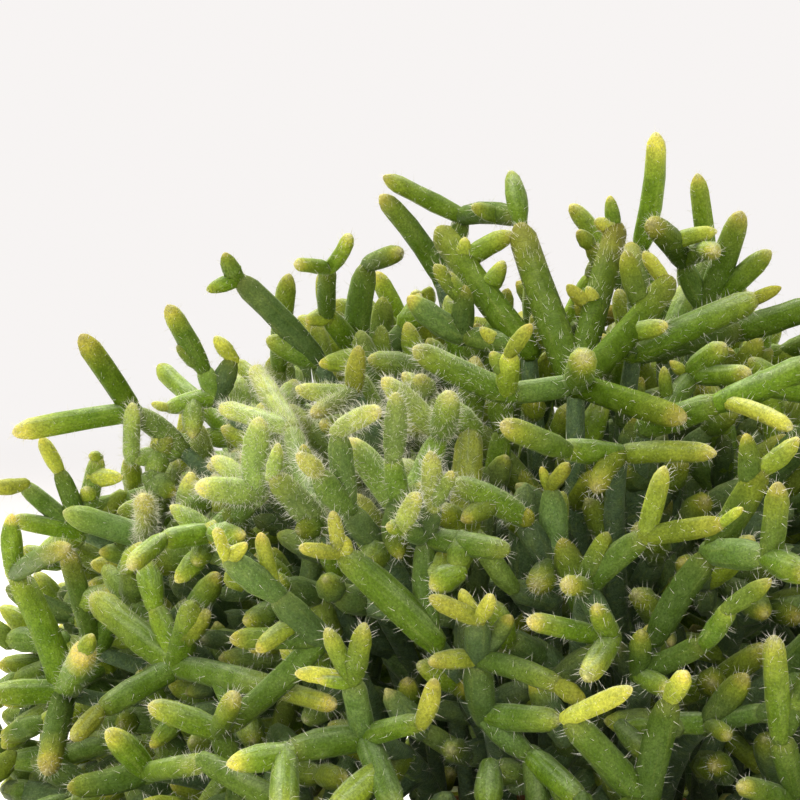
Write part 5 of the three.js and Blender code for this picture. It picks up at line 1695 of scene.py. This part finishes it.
def turned(name, line, sides):
    """A closed solid of revolution about the Z axis; the outline starts and ends on the axis."""
    rings = line[1:-1]
    verts = [(0, 0, line[0][1] * MM)]
    for radius, height in rings:
        for k in range(sides):
            turn = k * math.tau / sides
            verts.append((radius * MM * math.cos(turn), radius * MM * math.sin(turn), height * MM))
    verts.append((0, 0, line[-1][1] * MM))
    last, faces = len(verts) - 1, []
    for k in range(sides):
        n = (k + 1) % sides
        faces.append((0, 1 + n, 1 + k))
        for r in range(len(rings) - 1):
            a, b = 1 + r * sides, 1 + (r + 1) * sides
            faces.append((a + k, a + n, b + n, b + k))
        top = 1 + (len(rings) - 1) * sides
        faces.append((top + k, top + n, last))
    mesh = bpy.data.meshes.new(name)
    mesh.from_pydata(verts, [], faces)
    mesh.shade_smooth()
    return in_scene(name, mesh)


def with_walls(line):
    """The same outline with extra points along its long straight parts."""
    fine = [line[0]]
    for a, b in zip(line, line[1:]):
        pieces = max(1, int(math.dist(a, b) / WALL_STEP)) if a[0] > 1 and b[0] > 1 else 1
        fine += [tuple(a[i] + (b[i] - a[i]) * k / pieces for i in (0, 1)) for k in range(1, pieces + 1)]
    return fine


def finger_rings(line):
    """Faint rings on the pot's walls, kept just inside its outline."""
    def depth(radius, height):
        if radius <= FINGER_INSIDE or not FINGER_EDGE < height < POT_HEIGHT - FINGER_EDGE:
            return 0
        return FINGER_DEPTH * (0.5 + 0.5 * math.sin(height * FINGER_TURNS))

    return [(radius - depth(radius, height), height) for radius, height in line]


pot = turned("clay_pot", finger_rings(with_walls(pot_outline())), POT_SIDES)
for i in range(DRAIN_HOLES):
    turn = i / DRAIN_HOLES * math.tau + DRAIN_TURN
    place = (DRAIN_RING * MM * math.cos(turn), DRAIN_RING * MM * math.sin(turn), 0)
    bpy.ops.mesh.primitive_cylinder_add(vertices=DRAIN_SIDES, radius=DRAIN_RADIUS * MM,
                                        depth=POT_FLOOR * 3 * MM, location=place)
    drill = bpy.context.object
    cut = pot.modifiers.new("drain", "BOOLEAN")
    cut.operation, cut.solver, cut.object = "DIFFERENCE", "EXACT", drill
    holed = bpy.data.meshes.new_from_object(pot.evaluated_get(bpy.context.evaluated_depsgraph_get()))
    pot.modifiers.remove(cut)
    pot.data = holed
    bpy.data.objects.remove(drill)
print("pot faces", len(pot.data.polygons))

# %% [markdown]
# ## Clay
#
# Unglazed clay is orange-brown and dusty. Watering leaves a pale bloom of lime, most of it low on the
# wall.

# %% The clay material
CLAY_DARK, CLAY_LIGHT = (0.44, 0.165, 0.085, 1.0), (0.56, 0.25, 0.14, 1.0)
CLAY_GRIT, CLAY_LIME = (0.62, 0.36, 0.24, 1.0), (0.64, 0.50, 0.39, 1.0)
LIME_HEIGHT = 0.055  # metres above the foot
LIME_SHARE, GRIT_SHARE = 0.34, 0.5
LIME_EDGE, GRIT_EDGE = (0.62, 1.15), (0.56, 0.72)  # where each pattern starts
CLAY_BUMP = (0.4, 0.0006)  # strength and height in metres

clay, tree, shader, spot = new_material("clay", Roughness=0.85, IOR=1.45)
height = add_node(tree, "ShaderNodeSeparateXYZ", {0: spot}).outputs["Z"]
cloud, grit = noise(tree, spot, 28.0, 5.0, 0.6), noise(tree, spot, 900.0, 3.0, 0.7)
body = mix_colours(tree, stretch(tree, cloud, *MOST), CLAY_DARK, CLAY_LIGHT)
body = mix_colours(tree, stretch(tree, grit, *GRIT_EDGE, 0.0, GRIT_SHARE), body, CLAY_GRIT)
low = stretch(tree, height, LIME_HEIGHT, 0.0)
lime = times(tree, stretch(tree, plus(tree, cloud, low), *LIME_EDGE), LIME_SHARE, clamp=True)
fill_inputs(tree, shader, {
    "Base Color": mix_colours(tree, lime, body, CLAY_LIME),
    "Normal": bump(tree, plus(tree, times(tree, grit, 0.5), cloud), *CLAY_BUMP),
})
pot.data.materials.clear()
pot.data.materials.append(clay)
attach(pot, "root")
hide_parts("pot")
print("clay ready")

# %% [markdown]
# ## Soil
#
# The soil is a dark, crumbly mix. One closed body fills the pot and mounds up in the middle, its top
# roughened by noise, and Geometry Nodes strew crumbs over it.

# %% Heap up the soil
SOIL_SIDES, SOIL_RINGS, SOIL_GAP, SOIL_SUNK = 96, 24, 0.4, 0.6
SOIL_ROUGH = {"below": 1.5, "radius": 62.0, "height": 1.4, "down": 0.6}  # mm; the last is a share
SOIL_SEED = 5
EARTH_DARK, EARTH_LIGHT = (0.018, 0.011, 0.007, 1.0), (0.10, 0.06, 0.035, 1.0)
EARTH_EDGE, EARTH_BUMP = (0.35, 0.7), (0.9, 0.001)
CRUMB_DENSITY, CRUMB_SIZE = 90000.0, 1.5  # for each square metre, mm
CRUMB_LEAST, CRUMB_MOST = (0.35, 0.35, 0.3), (1.0, 1.0, 0.8)
CRUMB_FACES = 20


def soil_outline():
    inner_foot, inner_rim = POT_FOOT_RADIUS - POT_WALL, POT_RIM_RADIUS - POT_BAND_STEP - POT_WALL

    def inside_at(z):
        return inner_foot + (inner_rim - inner_foot) * (z - POT_FLOOR) / (POT_HEIGHT - POT_FLOOR) - SOIL_GAP

    bottom, edge = POT_FLOOR + SOIL_GAP, inside_at(SOIL_TOP)
    line = [(0, bottom), (inside_at(bottom), bottom), (edge, SOIL_TOP - 1)]
    for k in range(1, SOIL_RINGS):
        radius = edge * (1 - k / SOIL_RINGS)
        line.append((radius, soil_height(radius) - SOIL_SUNK))
    return line + [(0, soil_height(0) - SOIL_SUNK)]


soil = turned("potting_soil", soil_outline(), SOIL_SIDES)
random = np.random.default_rng(SOIL_SEED)
for vertex in soil.data.vertices:
    off = math.hypot(vertex.co.x, vertex.co.y)
    if vertex.co.z > (SOIL_TOP - SOIL_ROUGH["below"]) * MM and off < SOIL_ROUGH["radius"] * MM:
        vertex.co.z += (float(random.random()) - SOIL_ROUGH["down"]) * SOIL_ROUGH["height"] * MM

earth, tree, shader, spot = new_material("earth", Roughness=0.95)
crumb = noise(tree, spot, 420.0, 4.0, 0.7)
fill_inputs(tree, shader, {
    "Base Color": mix_colours(tree, stretch(tree, crumb, *EARTH_EDGE), EARTH_DARK, EARTH_LIGHT),
    "Normal": bump(tree, crumb, *EARTH_BUMP),
})
soil.data.materials.append(earth)


def crumb_tree():
    """Crumbs strewn over the soil's top."""
    tree, given = new_tree("crumbs_on_soil", "Crumbs", Ground="Geometry", Density="Float", Size="Float",
                           Earth="Material")
    z = add_node(tree, "ShaderNodeSeparateXYZ",
                 {0: add_node(tree, "GeometryNodeInputNormal").outputs[0]}).outputs["Z"]
    scatter = add_node(tree, "GeometryNodeDistributePointsOnFaces",
                       {"Mesh": given["Ground"], "Selection": math_node(tree, "GREATER_THAN", z, 0.5),
                        "Density": given["Density"], "Seed": 4})
    ball = add_node(tree, "GeometryNodeMeshIcoSphere", {"Radius": 1.0, "Subdivisions": 1})
    shape = random_value(tree, CRUMB_LEAST, CRUMB_MOST, seed=8)
    placed = add_node(tree, "GeometryNodeInstanceOnPoints",
                      {"Points": scatter.outputs["Points"], "Instance": ball.outputs["Mesh"],
                       "Rotation": random_value(tree, (0, 0, 0), (math.tau,) * 3, seed=6),
                       "Scale": vector_node(tree, "SCALE", shape, scale=given["Size"])}).outputs[0]
    return end_tree(tree, placed, given["Earth"])


crumbs = run_tree(crumb_tree(), soil.data, "soil_crumbs", Density=CRUMB_DENSITY, Size=CRUMB_SIZE * MM,
                  Earth=earth)
for piece in (soil, crumbs):
    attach(piece, "root")
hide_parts("soil")
print("crumbs", len(crumbs.data.polygons) // CRUMB_FACES)
